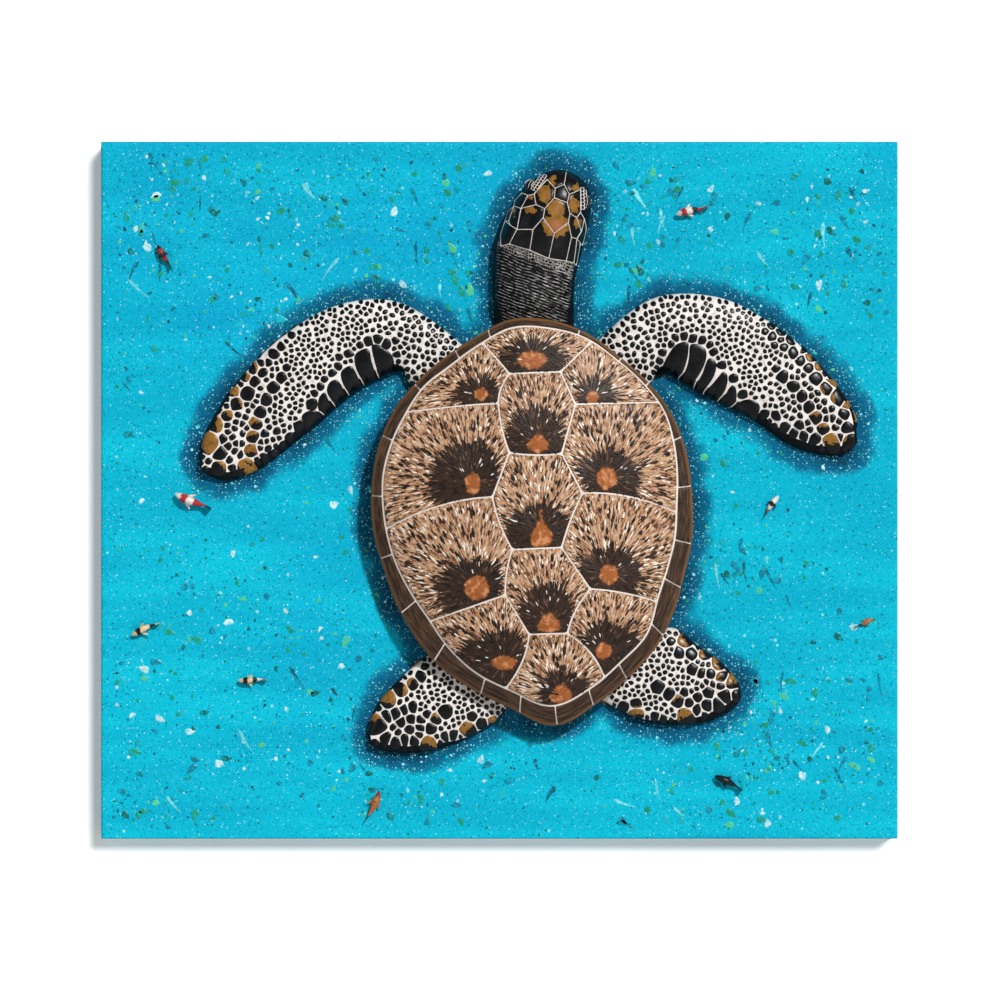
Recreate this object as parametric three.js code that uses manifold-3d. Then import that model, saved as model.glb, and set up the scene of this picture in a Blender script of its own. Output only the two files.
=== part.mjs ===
// A wall-hung sea turtle relief: a cast and hand-painted turtle glued to a stretched canvas.
// Units are millimetres. In the finished part +Z is up and the canvas faces -Y. The origin lies on
// the back of the canvas's top flap, where the panel rests against the wall.
//
// Everything is first laid out in the panel's own frame, as if the panel lay on a bench: x to the
// right, y towards its top edge, z out of the canvas, with (0, 0, 0) at the middle of its back.
import * as THREE from 'three';
import { mergeVertices } from 'three/addons/utils/BufferGeometryUtils.js';
import Module from 'manifold-3d';

const wasm = await Module();
wasm.setup();

// ---------------------------------------------------------------- driving dimensions

const GAP = 0.3; // kept between any two pieces that touch

// The stretched canvas, a 16 x 14 inch panel.
const PANEL_WIDTH = 406.4;
const PANEL_HEIGHT = 355.6;
const PANEL_DEPTH = 20.6;
const CLOTH = 0.6; // primed and painted cotton
const FLAP = 20; // cloth turned over onto the back
const CORNER_RADIUS = 3;

// The stretcher bars behind it, mitred at the corners.
const BAR_WIDTH = 38;
const BAR_RELIEF = 1.8; // how far the front of a bar falls away from the cloth, inwards
const BAR_CORNER_CUT = 1.5; // taken off its sharp outer ends, clear of the rounded cloth

// The saw-tooth hanger on the back of the top bar.
const HANGER_WIDTH = 58;
const HANGER_HEIGHT = 11;
const HANGER_THICKNESS = 0.5;
const HANGER_BELOW_FLAP = 3;
const HANGER_TEETH = 9;
const TOOTH_WIDTH = 4;
const TOOTH_DEPTH = 2.5;

// Heights of the relief, measured from the face of the canvas.
const SHELL_UNDERSIDE = 12.3;
const RIM_TOP = 15.6; // groove floor at the shell's outer edge
const SEAM_TOP = 17.6; // groove floor where the rim plates meet the scutes
const SHELL_PEAK = 32.5;
const PLATE_RAISE = 0.6; // the big scales on the flippers and head
const FLIPPER_EDGE = 4.2;
const FLIPPER_CROWN = 8.2;
const NECK_CROWN = 16.5;
const HEAD_EDGE = 6;
const HEAD_CROWN = 21.5;

// The shell in plan: its middle, then its outer radius and the width of its rim of small
// plates, every 12 degrees from +x towards +y.
const SHELL_CENTRE = [16, -8];
const SHELL_RADII = [
  82.2, 82.7, 84.3, 85.7, 86.7, 88.4, 92.3, 95.0, 95.4, 90.5, 87.3, 85.8, 85.0, 83.6, 82.1,
  81.3, 81.3, 81.5, 84.7, 88.8, 93.8, 97.8, 103.2, 112.4, 106.2, 100.1, 95.8, 90.2, 85.5, 83.8,
];
const RIM_WIDTHS = [
  8.3, 6.8, 5.0, 2.6, 2.2, 2.2, 2.7, 4.4, 4.6, 4.7, 5.3, 4.6, 6.2, 6.1, 5.6,
  6.3, 7.0, 7.1, 9.6, 11.5, 10.6, 8.6, 8.9, 10.4, 8.9, 8.7, 8.1, 10.6, 9.5, 9.1,
];
const TORSO_INSET = 12; // how far the shell overhangs the body below it
const RIM_OVERHANG = 0.5; // how far the rim plates stand out past the shell's core

// Where the dividers between the rim plates lie. The nape plate is between the first two.
const RIM_DIVIDERS = [
  74.5, 103.5, 115.8, 133.6, 154.6, 176.3, 199.2, 219.5, 238, 255.1, 267,
  276.9, 287.5, 299.1, 315.7, 331.5, 346.8, 367.2, 384.7, 406.3, 418.6, 434.5,
];

// The corners where the middle row of scutes meets the side rows, in pairs from neck to tail.
const CORNERS = {
  a1: [5, 59], a2: [31, 60], b1: [-0.5, 44], b2: [38.5, 43.5], c1: [5, 19], c2: [31.5, 18.5],
  d1: [-3.5, -3.5], d2: [42, -1.5], e1: [6.5, -30], e2: [31.5, -29], f1: [3, -53], f2: [46, -50],
  g1: [15, -73], g2: [34.5, -72.5],
};

// Each scute runs along the rim seam between two angles, if it reaches it, then through corners.
const SCUTES = [
  { rim: [69.7, 106.5], corners: ['a1', 'a2'] },
  { rim: [106.5, 142.9], corners: ['b1', 'a1'] },
  { rim: [142.9, 188.9], corners: ['d1', 'c1', 'b1'] },
  { rim: [188.9, 228.8], corners: ['f1', 'e1', 'd1'] },
  { rim: [228.8, 262.2], corners: ['g1', 'f1'] },
  { rim: [262.2, 293.3], corners: ['g2', 'g1'] },
  { rim: [293.3, 322.8], corners: ['f2', 'g2'] },
  { rim: [322.8, 357.6], corners: ['d2', 'e2', 'f2'] },
  { rim: [357.6, 399.1], corners: ['b2', 'c2', 'd2'] },
  { rim: [39.1, 69.7], corners: ['a2', 'b2'] },
  { corners: ['b1', 'c1', 'c2', 'b2', 'a2', 'a1'] },
  { corners: ['d1', 'e1', 'e2', 'd2', 'c2', 'c1'] },
  { corners: ['f1', 'g1', 'g2', 'f2', 'e2', 'e1'] },
];
const SCUTE_RAISE = 0.8;
const SCUTE_SINK = 1.4;
const SEAM_HALF = 0.5; // half the width of the groove between two scutes

// ---------------------------------------------------------------- small geometry helpers

const radians = (degrees) => (degrees * Math.PI) / 180;
const mix = (a, b, t) => a + (b - a) * t;
const mixPoint = (a, b, t) => a.map((value, axis) => mix(value, b[axis], t));

function smoothstep(low, high, value) {
  const t = Math.min(Math.max((value - low) / (high - low), 0), 1);
  return t * t * (3 - 2 * t);
}

// A smooth value at any angle, from a list given at equal steps around the circle.
function around(list, degrees) {
  const place = (((degrees % 360) + 360) % 360) / (360 / list.length);
  const k = Math.floor(place);
  const t = place - k;
  const [a, b, c, d] = [-1, 0, 1, 2].map((step) => list[(k + step + list.length) % list.length]);
  return b + 0.5 * t * (c - a + t * (2 * a - 5 * b + 4 * c - d + t * (3 * (b - c) + d - a)));
}

// A closed body through rings of equally many points. A ring of one point is a tip, and any
// other end ring is closed with a fan.
function loft(rings) {
  const points = rings.flat();
  const starts = [];
  let total = 0;
  for (const ring of rings) {
    starts.push(total);
    total += ring.length;
  }
  const faces = [];
  for (let r = 0; r + 1 < rings.length; r++) {
    const [low, high] = [rings[r], rings[r + 1]];
    const count = Math.max(low.length, high.length);
    for (let i = 0; i < count; i++) {
      const j = (i + 1) % count;
      const at = (ring, start, k) => start + (ring.length === 1 ? 0 : k);
      const [a, b] = [at(low, starts[r], i), at(low, starts[r], j)];
      const [c, d] = [at(high, starts[r + 1], j), at(high, starts[r + 1], i)];
      if (a !== b) faces.push([a, b, c]);
      if (c !== d) faces.push([a, c, d]);
    }
  }
  for (const [r, turned] of [[0, true], [rings.length - 1, false]]) {
    const ring = rings[r];
    if (ring.length === 1) continue;
    points.push(middleOf(ring));
    for (let i = 0; i < ring.length; i++) {
      const [a, b] = [starts[r] + i, starts[r] + ((i + 1) % ring.length)];
      faces.push(turned ? [b, a, points.length - 1] : [a, b, points.length - 1]);
    }
  }
  return outward(points, faces);
}

// A geometry from points and faces, turned the right way out.
function outward(points, faces) {
  const volume = faces.reduce((sum, face) => {
    const [a, b, c] = face.map((k) => new THREE.Vector3(...points[k]));
    return sum + a.dot(b.cross(c));
  }, 0);
  const geometry = new THREE.BufferGeometry();
  geometry.setAttribute('position', new THREE.Float32BufferAttribute(points.flat(), 3));
  geometry.setIndex(volume < 0 ? faces.flatMap(([a, b, c]) => [a, c, b]) : faces.flat());
  return geometry;
}

function solid(geometry) {
  const bare = geometry.clone();
  bare.deleteAttribute('normal');
  bare.deleteAttribute('uv');
  const merged = mergeVertices(bare, 1e-4);
  const vertProperties = new Float32Array(merged.getAttribute('position').array);
  const triVerts = new Uint32Array(merged.index.array);
  return new wasm.Manifold(new wasm.Mesh({ numProp: 3, vertProperties, triVerts }));
}

// Only the largest closed surface of a solid, as a geometry.
function largest(body) {
  const [piece] = body.decompose().sort((a, b) => b.volume() - a.volume());
  const { vertProperties, triVerts } = piece.getMesh();
  const geometry = new THREE.BufferGeometry();
  geometry.setAttribute('position', new THREE.Float32BufferAttribute(vertProperties, 3));
  geometry.setIndex(Array.from(triVerts));
  return geometry;
}

function union(geometries) {
  return geometries.map(solid).reduce((sum, body) => sum.add(body));
}

function box(low, high) {
  const size = high.map((value, axis) => value - low[axis]);
  const geometry = new THREE.BoxGeometry(...size);
  return geometry.translate(...low.map((value, axis) => value + size[axis] / 2));
}

// A closed outline moved inwards by a distance, corner by corner. It runs counter-clockwise.
function inset(outline, distance) {
  return outline.map((corner, k) => {
    const before = outline[(k + outline.length - 1) % outline.length];
    const after = outline[(k + 1) % outline.length];
    const first = new THREE.Vector2(corner[0] - before[0], corner[1] - before[1]).normalize();
    const second = new THREE.Vector2(after[0] - corner[0], after[1] - corner[1]).normalize();
    const inward = new THREE.Vector2(-first.y - second.y, first.x + second.x);
    inward.multiplyScalar(2 / Math.max(inward.lengthSq(), 1));
    return [corner[0] + inward.x * distance, corner[1] + inward.y * distance];
  });
}

// The same outline with its long edges split into steps.
function refine(outline, step) {
  return outline.flatMap((corner, k) => {
    const next = outline[(k + 1) % outline.length];
    const length = Math.hypot(next[0] - corner[0], next[1] - corner[1]);
    const count = Math.max(1, Math.round(length / step));
    return Array.from({ length: count }, (_, i) => mixPoint(corner, next, i / count));
  });
}

function middleOf(points) {
  const sum = points.reduce((total, point) => total.map((value, axis) => value + point[axis]));
  return sum.map((value) => value / points.length);
}

// A raised plate with a bevelled edge. place(a, b, lift) puts a plan point on the surface. Its
// bevel starts at a part of its raise, and its middle is crowned by another part.
const BEVEL_START = 0.35;
const PLATE_CROWN = 0.4;
function plate(outline, place, { raise, sink, bevel = 0.08, rings = [0.45] }) {
  const middle = middleOf(outline);
  const ring = (towards, lift) => outline.map((p) => place(...mixPoint(p, middle, towards), lift));
  return loft([
    ring(0, -sink),
    ring(0, raise * BEVEL_START),
    ring(bevel, raise),
    ...rings.map((towards) => ring(towards, raise * (1 + PLATE_CROWN * towards))),
    [place(...middle, raise * (1 + PLATE_CROWN))],
  ]);
}

// ---------------------------------------------------------------- materials and naming

const finish = (color, roughness, metalness = 0) =>
  new THREE.MeshStandardMaterial({ color, roughness, metalness });
const canvasPaint = finish(0x10a8d0, 0.75);
const pine = finish(0xcaa878, 0.7);
const steel = finish(0x9a9a9c, 0.35, 1);
const shellPaint = finish(0x8a6a48, 0.45);
const skinPaint = finish(0x5a5650, 0.5);
const eyePaint = finish(0x0c0c0c, 0.15);

const panel = new THREE.Group();
panel.rotation.x = Math.PI / 2; // stands the panel up, face towards -Y
panel.position.z = FLAP / 2 - PANEL_HEIGHT / 2;

function add(name, geometry, material) {
  const mesh = new THREE.Mesh(geometry, material);
  mesh.name = name;
  panel.add(mesh);
}

// ---------------------------------------------------------------- canvas

// The cloth is one tray: a front, four turned sides and a flap along each edge of the back.
function roundedSlab(width, height, radius, low, high) {
  const shape = new THREE.Shape();
  const [x, y] = [width / 2, height / 2];
  shape.moveTo(x - radius, -y);
  for (const [cx, cy, start] of [[x, -y, 270], [x, y, 0], [-x, y, 90], [-x, -y, 180]]) {
    const centre = [cx - Math.sign(cx) * radius, cy - Math.sign(cy) * radius];
    shape.absarc(...centre, radius, radians(start), radians(start + 90));
  }
  const geometry = new THREE.ExtrudeGeometry(shape, {
    depth: high - low,
    bevelEnabled: false,
    curveSegments: 4,
  });
  return geometry.translate(0, 0, low);
}

const clothOuter = roundedSlab(PANEL_WIDTH, PANEL_HEIGHT, CORNER_RADIUS, 0, PANEL_DEPTH);
const clothInner = roundedSlab(
  PANEL_WIDTH - 2 * CLOTH,
  PANEL_HEIGHT - 2 * CLOTH,
  CORNER_RADIUS - CLOTH,
  CLOTH,
  PANEL_DEPTH - CLOTH,
);
const backWindow = box(
  [FLAP - PANEL_WIDTH / 2, FLAP - PANEL_HEIGHT / 2, -1],
  [PANEL_WIDTH / 2 - FLAP, PANEL_HEIGHT / 2 - FLAP, 2 * CLOTH],
);
const cloth = solid(clothOuter).subtract(solid(clothInner)).subtract(solid(backWindow));
add('canvas', largest(cloth), canvasPaint);

// ---------------------------------------------------------------- stretcher bars and hanger

const WOOD_BACK = CLOTH + GAP;
const WOOD_FRONT = PANEL_DEPTH - CLOTH - GAP;
const woodHalf = [PANEL_WIDTH / 2 - CLOTH - GAP, PANEL_HEIGHT / 2 - CLOTH - GAP];

// A bar's section, as (distance inwards from the outer edge, height above the wall). Its front
// slopes back from the outer edge, so that the cloth touches only there.
const barSection = [
  [0, WOOD_BACK],
  [BAR_WIDTH, WOOD_BACK],
  [BAR_WIDTH, WOOD_FRONT - BAR_RELIEF],
  [0, WOOD_FRONT],
];

// A mitred bar: side is the way its outer edge faces, 0 for +x, 1 for +y, 2 for -x, 3 for -y.
function bar(side) {
  const [across, along] = side % 2 ? [woodHalf[1], woodHalf[0]] : woodHalf;
  const end = (sign) =>
    barSection.map(([inwards, z]) => {
      const shorter = Math.max(inwards + GAP / 2, BAR_CORNER_CUT);
      return [across - inwards, sign * (along - shorter), z];
    });
  return loft([end(-1), end(1)]).rotateZ(radians(90 * side));
}

for (const [side, name] of ['bar_right', 'bar_top', 'bar_left', 'bar_bottom'].entries()) {
  add(name, bar(side), pine);
}

// A thin steel strip whose lower edge is cut into teeth, nailed flat on the bare wood.
function hanger() {
  const shape = new THREE.Shape();
  const top = PANEL_HEIGHT / 2 - FLAP - HANGER_BELOW_FLAP;
  const [left, bottom] = [-HANGER_WIDTH / 2, top - HANGER_HEIGHT];
  const margin = (HANGER_WIDTH - HANGER_TEETH * TOOTH_WIDTH) / 2;
  shape.moveTo(left, top);
  shape.lineTo(left, bottom);
  shape.lineTo(left + margin, bottom);
  for (let k = 0; k < HANGER_TEETH; k++) {
    shape.lineTo(left + margin + (k + 0.5) * TOOTH_WIDTH, bottom + TOOTH_DEPTH);
    shape.lineTo(left + margin + (k + 1) * TOOTH_WIDTH, bottom);
  }
  shape.lineTo(-left, bottom);
  shape.lineTo(-left, top);
  const geometry = new THREE.ExtrudeGeometry(shape, { depth: HANGER_THICKNESS, bevelEnabled: false });
  return geometry.translate(0, 0, WOOD_BACK - GAP - HANGER_THICKNESS);
}
add('hanger', hanger(), steel);

// ---------------------------------------------------------------- body under the shell

const CANVAS_FACE = PANEL_DEPTH + GAP; // where the relief is glued down

const shellRadius = (degrees) => around(SHELL_RADII, degrees);
const seamRadius = (degrees) => shellRadius(degrees) - around(RIM_WIDTHS, degrees);

const polar = (degrees, radius) => [
  SHELL_CENTRE[0] + radius * Math.cos(radians(degrees)),
  SHELL_CENTRE[1] + radius * Math.sin(radians(degrees)),
];

// A level ring of points that follows the shell's outline at a distance inside it.
function shellRing(count, insetBy, z) {
  return Array.from({ length: count }, (_, k) => {
    const degrees = (360 * k) / count;
    return [...polar(degrees, shellRadius(degrees) - insetBy), z];
  });
}

const TORSO_SIDES = 48;
const torsoTop = PANEL_DEPTH + SHELL_UNDERSIDE - GAP;
add('torso', loft([
  shellRing(TORSO_SIDES, TORSO_INSET, CANVAS_FACE),
  shellRing(TORSO_SIDES, TORSO_INSET, torsoTop),
]), skinPaint);

// What the neck and flippers are cut back to, so that they meet the body face to face.
const torsoSocket = solid(loft([
  shellRing(TORSO_SIDES, TORSO_INSET - GAP, 0),
  shellRing(TORSO_SIDES, TORSO_INSET - GAP, PANEL_DEPTH + SHELL_PEAK),
]));

// ---------------------------------------------------------------- carapace

// The floor of the grooves between the scutes: a sloped rim round a low dome. A flatness of 0.5
// would make the dome a part of a ball, and 1 a softer hill.
const DOME_FLATNESS = 0.85;
function shellFloor(x, y) {
  const [dx, dy] = [x - SHELL_CENTRE[0], y - SHELL_CENTRE[1]];
  const degrees = (Math.atan2(dy, dx) * 180) / Math.PI;
  const radius = Math.hypot(dx, dy);
  const [seam, outer] = [seamRadius(degrees), shellRadius(degrees)];
  if (radius >= seam) return mix(SEAM_TOP, RIM_TOP, Math.min((radius - seam) / (outer - seam), 1));
  const dome = (1 - (radius / seam) ** 2) ** DOME_FLATNESS;
  return mix(SEAM_TOP, SHELL_PEAK, dome);
}

const DOME_SIDES = 56;
const DOME_RINGS = [1, 0.93, 0.84, 0.72, 0.58, 0.42, 0.22]; // parts of the way out to the rim seam
const LOWER_BEVEL = 1;
function shellCore() {
  const underside = PANEL_DEPTH + SHELL_UNDERSIDE;
  const onDome = (fraction) =>
    Array.from({ length: DOME_SIDES }, (_, k) => {
      const degrees = (360 * k) / DOME_SIDES;
      const point = polar(degrees, seamRadius(degrees) * fraction);
      return [...point, PANEL_DEPTH + shellFloor(...point)];
    });
  return loft([
    shellRing(DOME_SIDES, RIM_OVERHANG + LOWER_BEVEL, underside),
    shellRing(DOME_SIDES, RIM_OVERHANG, underside + LOWER_BEVEL),
    shellRing(DOME_SIDES, RIM_OVERHANG, PANEL_DEPTH + RIM_TOP),
    ...DOME_RINGS.map(onDome),
    [[...SHELL_CENTRE, PANEL_DEPTH + SHELL_PEAK]],
  ]);
}

const onShell = (x, y, lift) => [x, y, PANEL_DEPTH + shellFloor(x, y) + lift];

// The big scutes, set on the dome with their roots sunk into it.
const SCUTE_STEP = 9;
const SCUTE_RIM_STEP = 6; // degrees, along the rim seam
function scute({ rim, corners }) {
  const outline = corners.map((name) => CORNERS[name]);
  if (rim) {
    const steps = Math.round((rim[1] - rim[0]) / SCUTE_RIM_STEP);
    for (let k = steps; k >= 0; k--) {
      const degrees = mix(rim[0], rim[1], k / steps);
      outline.unshift(polar(degrees, seamRadius(degrees)));
    }
  }
  return plate(refine(inset(outline, SEAM_HALF), SCUTE_STEP), onShell, {
    raise: SCUTE_RAISE,
    sink: SCUTE_SINK,
    rings: [0.36, 0.68],
  });
}

// The rim plates, each wrapped over the edge of the shell.
const RIM_STEP = 7; // degrees
const RIM_BEVEL = 1;
const RIM_FLAT = 0.6; // the least width left inside the bevel
const RIM_SKIRT = 1.2; // from the shell's underside to a plate's lower edge
const RIM_BEVEL_DROP = 0.3;
function rimPlate(from, to) {
  const steps = Math.max(2, Math.round((to - from) / RIM_STEP));
  const row = (inwards, z) =>
    Array.from({ length: steps + 1 }, (_, k) => {
      const outer = shellRadius(mix(from, to, k / steps));
      const margin = (SEAM_HALF / outer) * (180 / Math.PI);
      const degrees = mix(from + margin, to - margin, k / steps);
      const width = Math.max(around(RIM_WIDTHS, degrees) - SEAM_HALF, RIM_BEVEL + RIM_FLAT);
      const point = polar(degrees, outer - inwards * width);
      return [...point, PANEL_DEPTH + (z ?? shellFloor(...point) + SCUTE_RAISE)];
    });
  const bevel = (2 * RIM_BEVEL) / Math.max(...RIM_WIDTHS);
  const sections = [
    row(0, SHELL_UNDERSIDE + RIM_SKIRT),
    row(0, RIM_TOP - RIM_BEVEL_DROP),
    row(bevel, null),
    row(1, null),
    row(1, SEAM_TOP - SCUTE_SINK),
  ];
  return loft(sections[0].map((_, k) => sections.map((section) => section[k])));
}

const rimPlates = RIM_DIVIDERS.slice(1).map((to, k) => rimPlate(RIM_DIVIDERS[k], to));
add('carapace', largest(union([shellCore(), ...SCUTES.map(scute), ...rimPlates])), shellPaint);

// ---------------------------------------------------------------- flippers

// A flipper is a slab between a leading and a trailing edge, each a smooth curve from the body
// out to the tip. at(t, s, lift) is the point a part t of the way out and s of the way across.
const ACROSS = [0, 0.07, 0.2, 0.38, 0.56, 0.74, 0.9, 0.97, 1];
const FLIPPER_SQUARENESS = 2.4; // of its section: 2 is round, and more is squarer
const TIP_CROWN = FLIPPER_EDGE + 1;

function flipper({ leading, trailing, stations, rows }) {
  const curve = (points) => new THREE.SplineCurve(points.map((p) => new THREE.Vector2(...p)));
  const [lead, trail] = [curve(leading), curve(trailing)];
  const at = (t, s, lift) => {
    const [front, rear] = [lead.getPoint(t), trail.getPoint(t)];
    const crown = mix(FLIPPER_CROWN, TIP_CROWN, smoothstep(0.2, 1, t));
    const height = mix(FLIPPER_EDGE, crown, 1 - Math.abs(2 * s - 1) ** FLIPPER_SQUARENESS);
    return [mix(front.x, rear.x, s), mix(front.y, rear.y, s), PANEL_DEPTH + height + lift];
  };
  const ground = (t, s) => [...at(t, s, 0).slice(0, 2), CANVAS_FACE];
  const ring = (t) => [ground(t, 0), ...ACROSS.map((s) => at(t, s, 0)), ground(t, 1)];
  const slab = loft(Array.from({ length: stations + 1 }, (_, k) => ring(k / stations)));
  return union([slab, ...rows.flatMap((row) => scaleRow(row, at))]);
}

// A row of big scales along one edge of a flipper, growing or shrinking towards the tip. Each
// reaches in from near the edge, and its inner end is rounded off beyond its shoulders.
const SCALE_GAP = 0.1; // of a scale's length
const LAST_REACH = 0.75; // of the last scale, next to the first
const SHOULDER = 0.7; // of a scale's reach
const SCALE_SINK = 0.8;
function scaleRow({ count, from, to, near, far, taper = 1 }, at) {
  const sizes = Array.from({ length: count }, (_, k) => taper ** k);
  const total = sizes.reduce((sum, size) => sum + size);
  let start = from;
  return sizes.map((size, k) => {
    const length = ((to - from) * size) / total;
    const [t0, t1] = [start + length * SCALE_GAP, start + length * (1 - SCALE_GAP)];
    start += length;
    const tip = mix(near, far, mix(1, LAST_REACH, k / count));
    const shoulder = mix(near, tip, SHOULDER);
    const outline = [
      [t0, near],
      [t1, near],
      [t1, shoulder],
      [mix(t0, t1, 0.75), tip],
      [mix(t0, t1, 0.25), tip],
      [t0, shoulder],
    ];
    return plate(outline, at, { raise: PLATE_RAISE, sink: SCALE_SINK, bevel: 0.16, rings: [] });
  });
}

const frontRows = [
  { count: 6, from: 0.3, to: 0.62, near: 0.97, far: 0.6, taper: 0.94 },
  { count: 9, from: 0.5, to: 0.97, near: 0.03, far: 0.22, taper: 1.03 },
];
const rearRows = [
  { count: 5, from: 0.3, to: 0.95, near: 0.03, far: 0.24 },
  { count: 4, from: 0.45, to: 0.92, near: 0.97, far: 0.78 },
];

const flippers = {
  flipper_front_left: flipper({
    leading: [[-6, 60], [-24, 78.5], [-52, 96], [-82, 94.5], [-110, 79], [-134, 55], [-150, 29], [-153, 12]],
    trailing: [[-30, 38], [-46, 54], [-52, 60.5], [-74, 50], [-95, 32], [-119, 13], [-137, 5], [-149, 7.5]],
    stations: 22,
    rows: frontRows,
  }),
  flipper_front_right: flipper({
    leading: [[40, 62], [53, 79], [79, 98], [111, 98.5], [138, 85.5], [161, 66.5], [179, 43], [182.5, 25]],
    trailing: [[62, 34], [77, 54], [84, 60], [104, 48.5], [126, 38], [149, 22.5], [171, 17.5], [180.5, 21.5]],
    stations: 22,
    rows: frontRows,
  }),
  flipper_rear_left: flipper({
    leading: [[-16, -70], [-36, -84], [-48, -93.5], [-60.5, -106.5], [-66.5, -119], [-66.5, -128]],
    trailing: [[14, -98], [0, -116], [-18.5, -127.5], [-39, -133.5], [-56, -133.5], [-64, -131]],
    stations: 14,
    rows: rearRows,
  }),
  flipper_rear_right: flipper({
    leading: [[66, -78], [87, -70], [101, -79], [114.5, -89], [122, -99], [123, -106]],
    trailing: [[42, -96], [54, -108.5], [75, -118], [99, -119.5], [114, -114.5], [121, -109.5]],
    stations: 14,
    rows: rearRows,
  }),
};

for (const [name, body] of Object.entries(flippers)) {
  add(name, largest(body.subtract(torsoSocket)), skinPaint);
}

// ---------------------------------------------------------------- neck and head

// The neck ends at the slanting line where the back of the head begins.
const HEAD_SEAM = { left: [-2.8, 125.6], right: [39.6, 112.6] };

// A row of points over the neck or its foot, from its left edge to its right edge.
const NECK_SIDES = 8;
function neckRing(left, right, crown) {
  const over = Array.from({ length: NECK_SIDES + 1 }, (_, k) => {
    const s = k / NECK_SIDES;
    const rise = Math.sqrt(1 - (2 * s - 1) ** 2);
    return [...mixPoint(left, right, s), PANEL_DEPTH + mix(HEAD_EDGE, crown, rise)];
  });
  return [[...left, CANVAS_FACE], ...over, [...right, CANVAS_FACE]];
}

// The neck in plan, from under the shell, where it is lower, to the head.
const underRim = SHELL_UNDERSIDE - GAP;
const shortOf = ([x, y]) => [x, y - GAP];
const neckSections = [
  { left: [-1, 66], right: [38, 66], crown: underRim },
  { left: [-2.6, 88], right: [38, 87], crown: underRim },
  { left: [-3, 94], right: [38, 93], crown: mix(underRim, NECK_CROWN, 0.6) },
  { left: [-3.5, 101], right: [38, 98], crown: NECK_CROWN },
  { left: [-3.2, 113], right: [38.4, 105], crown: NECK_CROWN },
  { left: shortOf(HEAD_SEAM.left), right: shortOf(HEAD_SEAM.right), crown: NECK_CROWN },
];
const throughSections = (sections) =>
  loft(sections.map(({ left, right, crown }) => neckRing(left, right, crown)));
add('neck', largest(solid(throughSections(neckSections)).subtract(torsoSocket)), skinPaint);

// The head in plan, from the right end of the seam round the snout to its left end, with the
// height of its crown at each pair of points.
const headSections = [
  { left: HEAD_SEAM.left, right: HEAD_SEAM.right, crown: NECK_CROWN },
  { left: [-0.8, 129.5], right: [42, 121], crown: 20 },
  { left: [1.5, 135.5], right: [44.6, 131], crown: HEAD_CROWN },
  { left: [5, 143], right: [46.3, 140.5], crown: HEAD_CROWN },
  { left: [9.5, 150.7], right: [46.6, 148], crown: 20.5 },
  { left: [15.5, 157], right: [44.6, 155], crown: 18 },
  { left: [22.5, 161.5], right: [40, 160], crown: 14 },
  { left: [28.5, 163.2], right: [34, 162.8], crown: 9 },
];
const skull = throughSections(headSections);

// The height of a geometry's upper surface over a point of the plan, or of its edge beside it.
function topOf(geometry, edgeHeight) {
  const mesh = new THREE.Mesh(geometry, new THREE.MeshBasicMaterial({ side: THREE.DoubleSide }));
  const down = new THREE.Vector3(0, 0, -1);
  return (x, y) => {
    const ray = new THREE.Raycaster(new THREE.Vector3(x, y, 100), down);
    const [hit] = ray.intersectObject(mesh);
    return hit ? hit.point.z : edgeHeight;
  };
}

// The plates of the head, as corners in plan and the plates between them.
const HEAD_CORNERS = {
  snout: [33.9, 161.5], noseLeft: [26.5, 160], noseRight: [39.5, 158], brow: [32.9, 155.1],
  browLeft: [28.3, 153.1], browRight: [35.4, 150], frontLeft: [27.8, 148.2], frontRight: [34.4, 145.7],
  lidLeft: [24.2, 157.7], lidRight: [41.2, 152.6], cheekLeft: [17.6, 150.2], cheekRight: [41.2, 140.9],
  templeLeft: [18.6, 144.7], crownLeft: [23, 142.6], earLeft: [11, 142.9], crownRight: [35.7, 140.4],
  templeRight: [39, 138.3], midLeft: [22.2, 138.1], midRight: [34.9, 135.8], middle: [27.8, 130.2],
  sideLeft: [17.1, 132.2], farLeft: [8.9, 132.2], sideRight: [36.5, 128.4], farRight: [41.6, 131.5],
  backLeft: [15.6, 123.5], backMiddle: [25.2, 119.5], backRight: [33.9, 118], endLeft: [5.5, 126],
  endRight: [38.2, 118], hingeRight: [39.3, 127.6],
};
const HEAD_PLATES = [
  ['snout', 'noseLeft', 'lidLeft', 'browLeft', 'brow'],
  ['snout', 'brow', 'browRight', 'lidRight', 'noseRight'],
  ['brow', 'browLeft', 'frontLeft', 'frontRight', 'browRight'],
  ['browLeft', 'lidLeft', 'cheekLeft', 'templeLeft', 'crownLeft', 'frontLeft'],
  ['browRight', 'frontRight', 'crownRight', 'templeRight', 'cheekRight', 'lidRight'],
  ['frontRight', 'frontLeft', 'crownLeft', 'midLeft', 'middle', 'midRight', 'crownRight'],
  ['midLeft', 'sideLeft', 'backLeft', 'backMiddle', 'middle'],
  ['middle', 'backMiddle', 'backRight', 'sideRight', 'midRight'],
  ['crownLeft', 'templeLeft', 'earLeft', 'farLeft', 'sideLeft', 'midLeft'],
  ['sideLeft', 'farLeft', 'endLeft', 'backLeft'],
  ['crownRight', 'midRight', 'sideRight', 'hingeRight', 'farRight', 'templeRight'],
  ['sideRight', 'backRight', 'endRight', 'hingeRight'],
];
const skullTop = topOf(skull, PANEL_DEPTH + HEAD_EDGE);
const onSkull = (x, y, lift) => [x, y, skullTop(x, y) + lift];
const HEAD_SEAM_HALF = 0.35;
const HEAD_PLATE_STEP = 6;
const HEAD_PLATE_SINK = 1.2;
const headPlates = HEAD_PLATES.map((names) => {
  const corners = inset(names.map((name) => HEAD_CORNERS[name]), HEAD_SEAM_HALF);
  const outline = refine(corners, HEAD_PLATE_STEP);
  return plate(outline, onSkull, { raise: PLATE_RAISE, sink: HEAD_PLATE_SINK, bevel: 0.12 });
});

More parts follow.
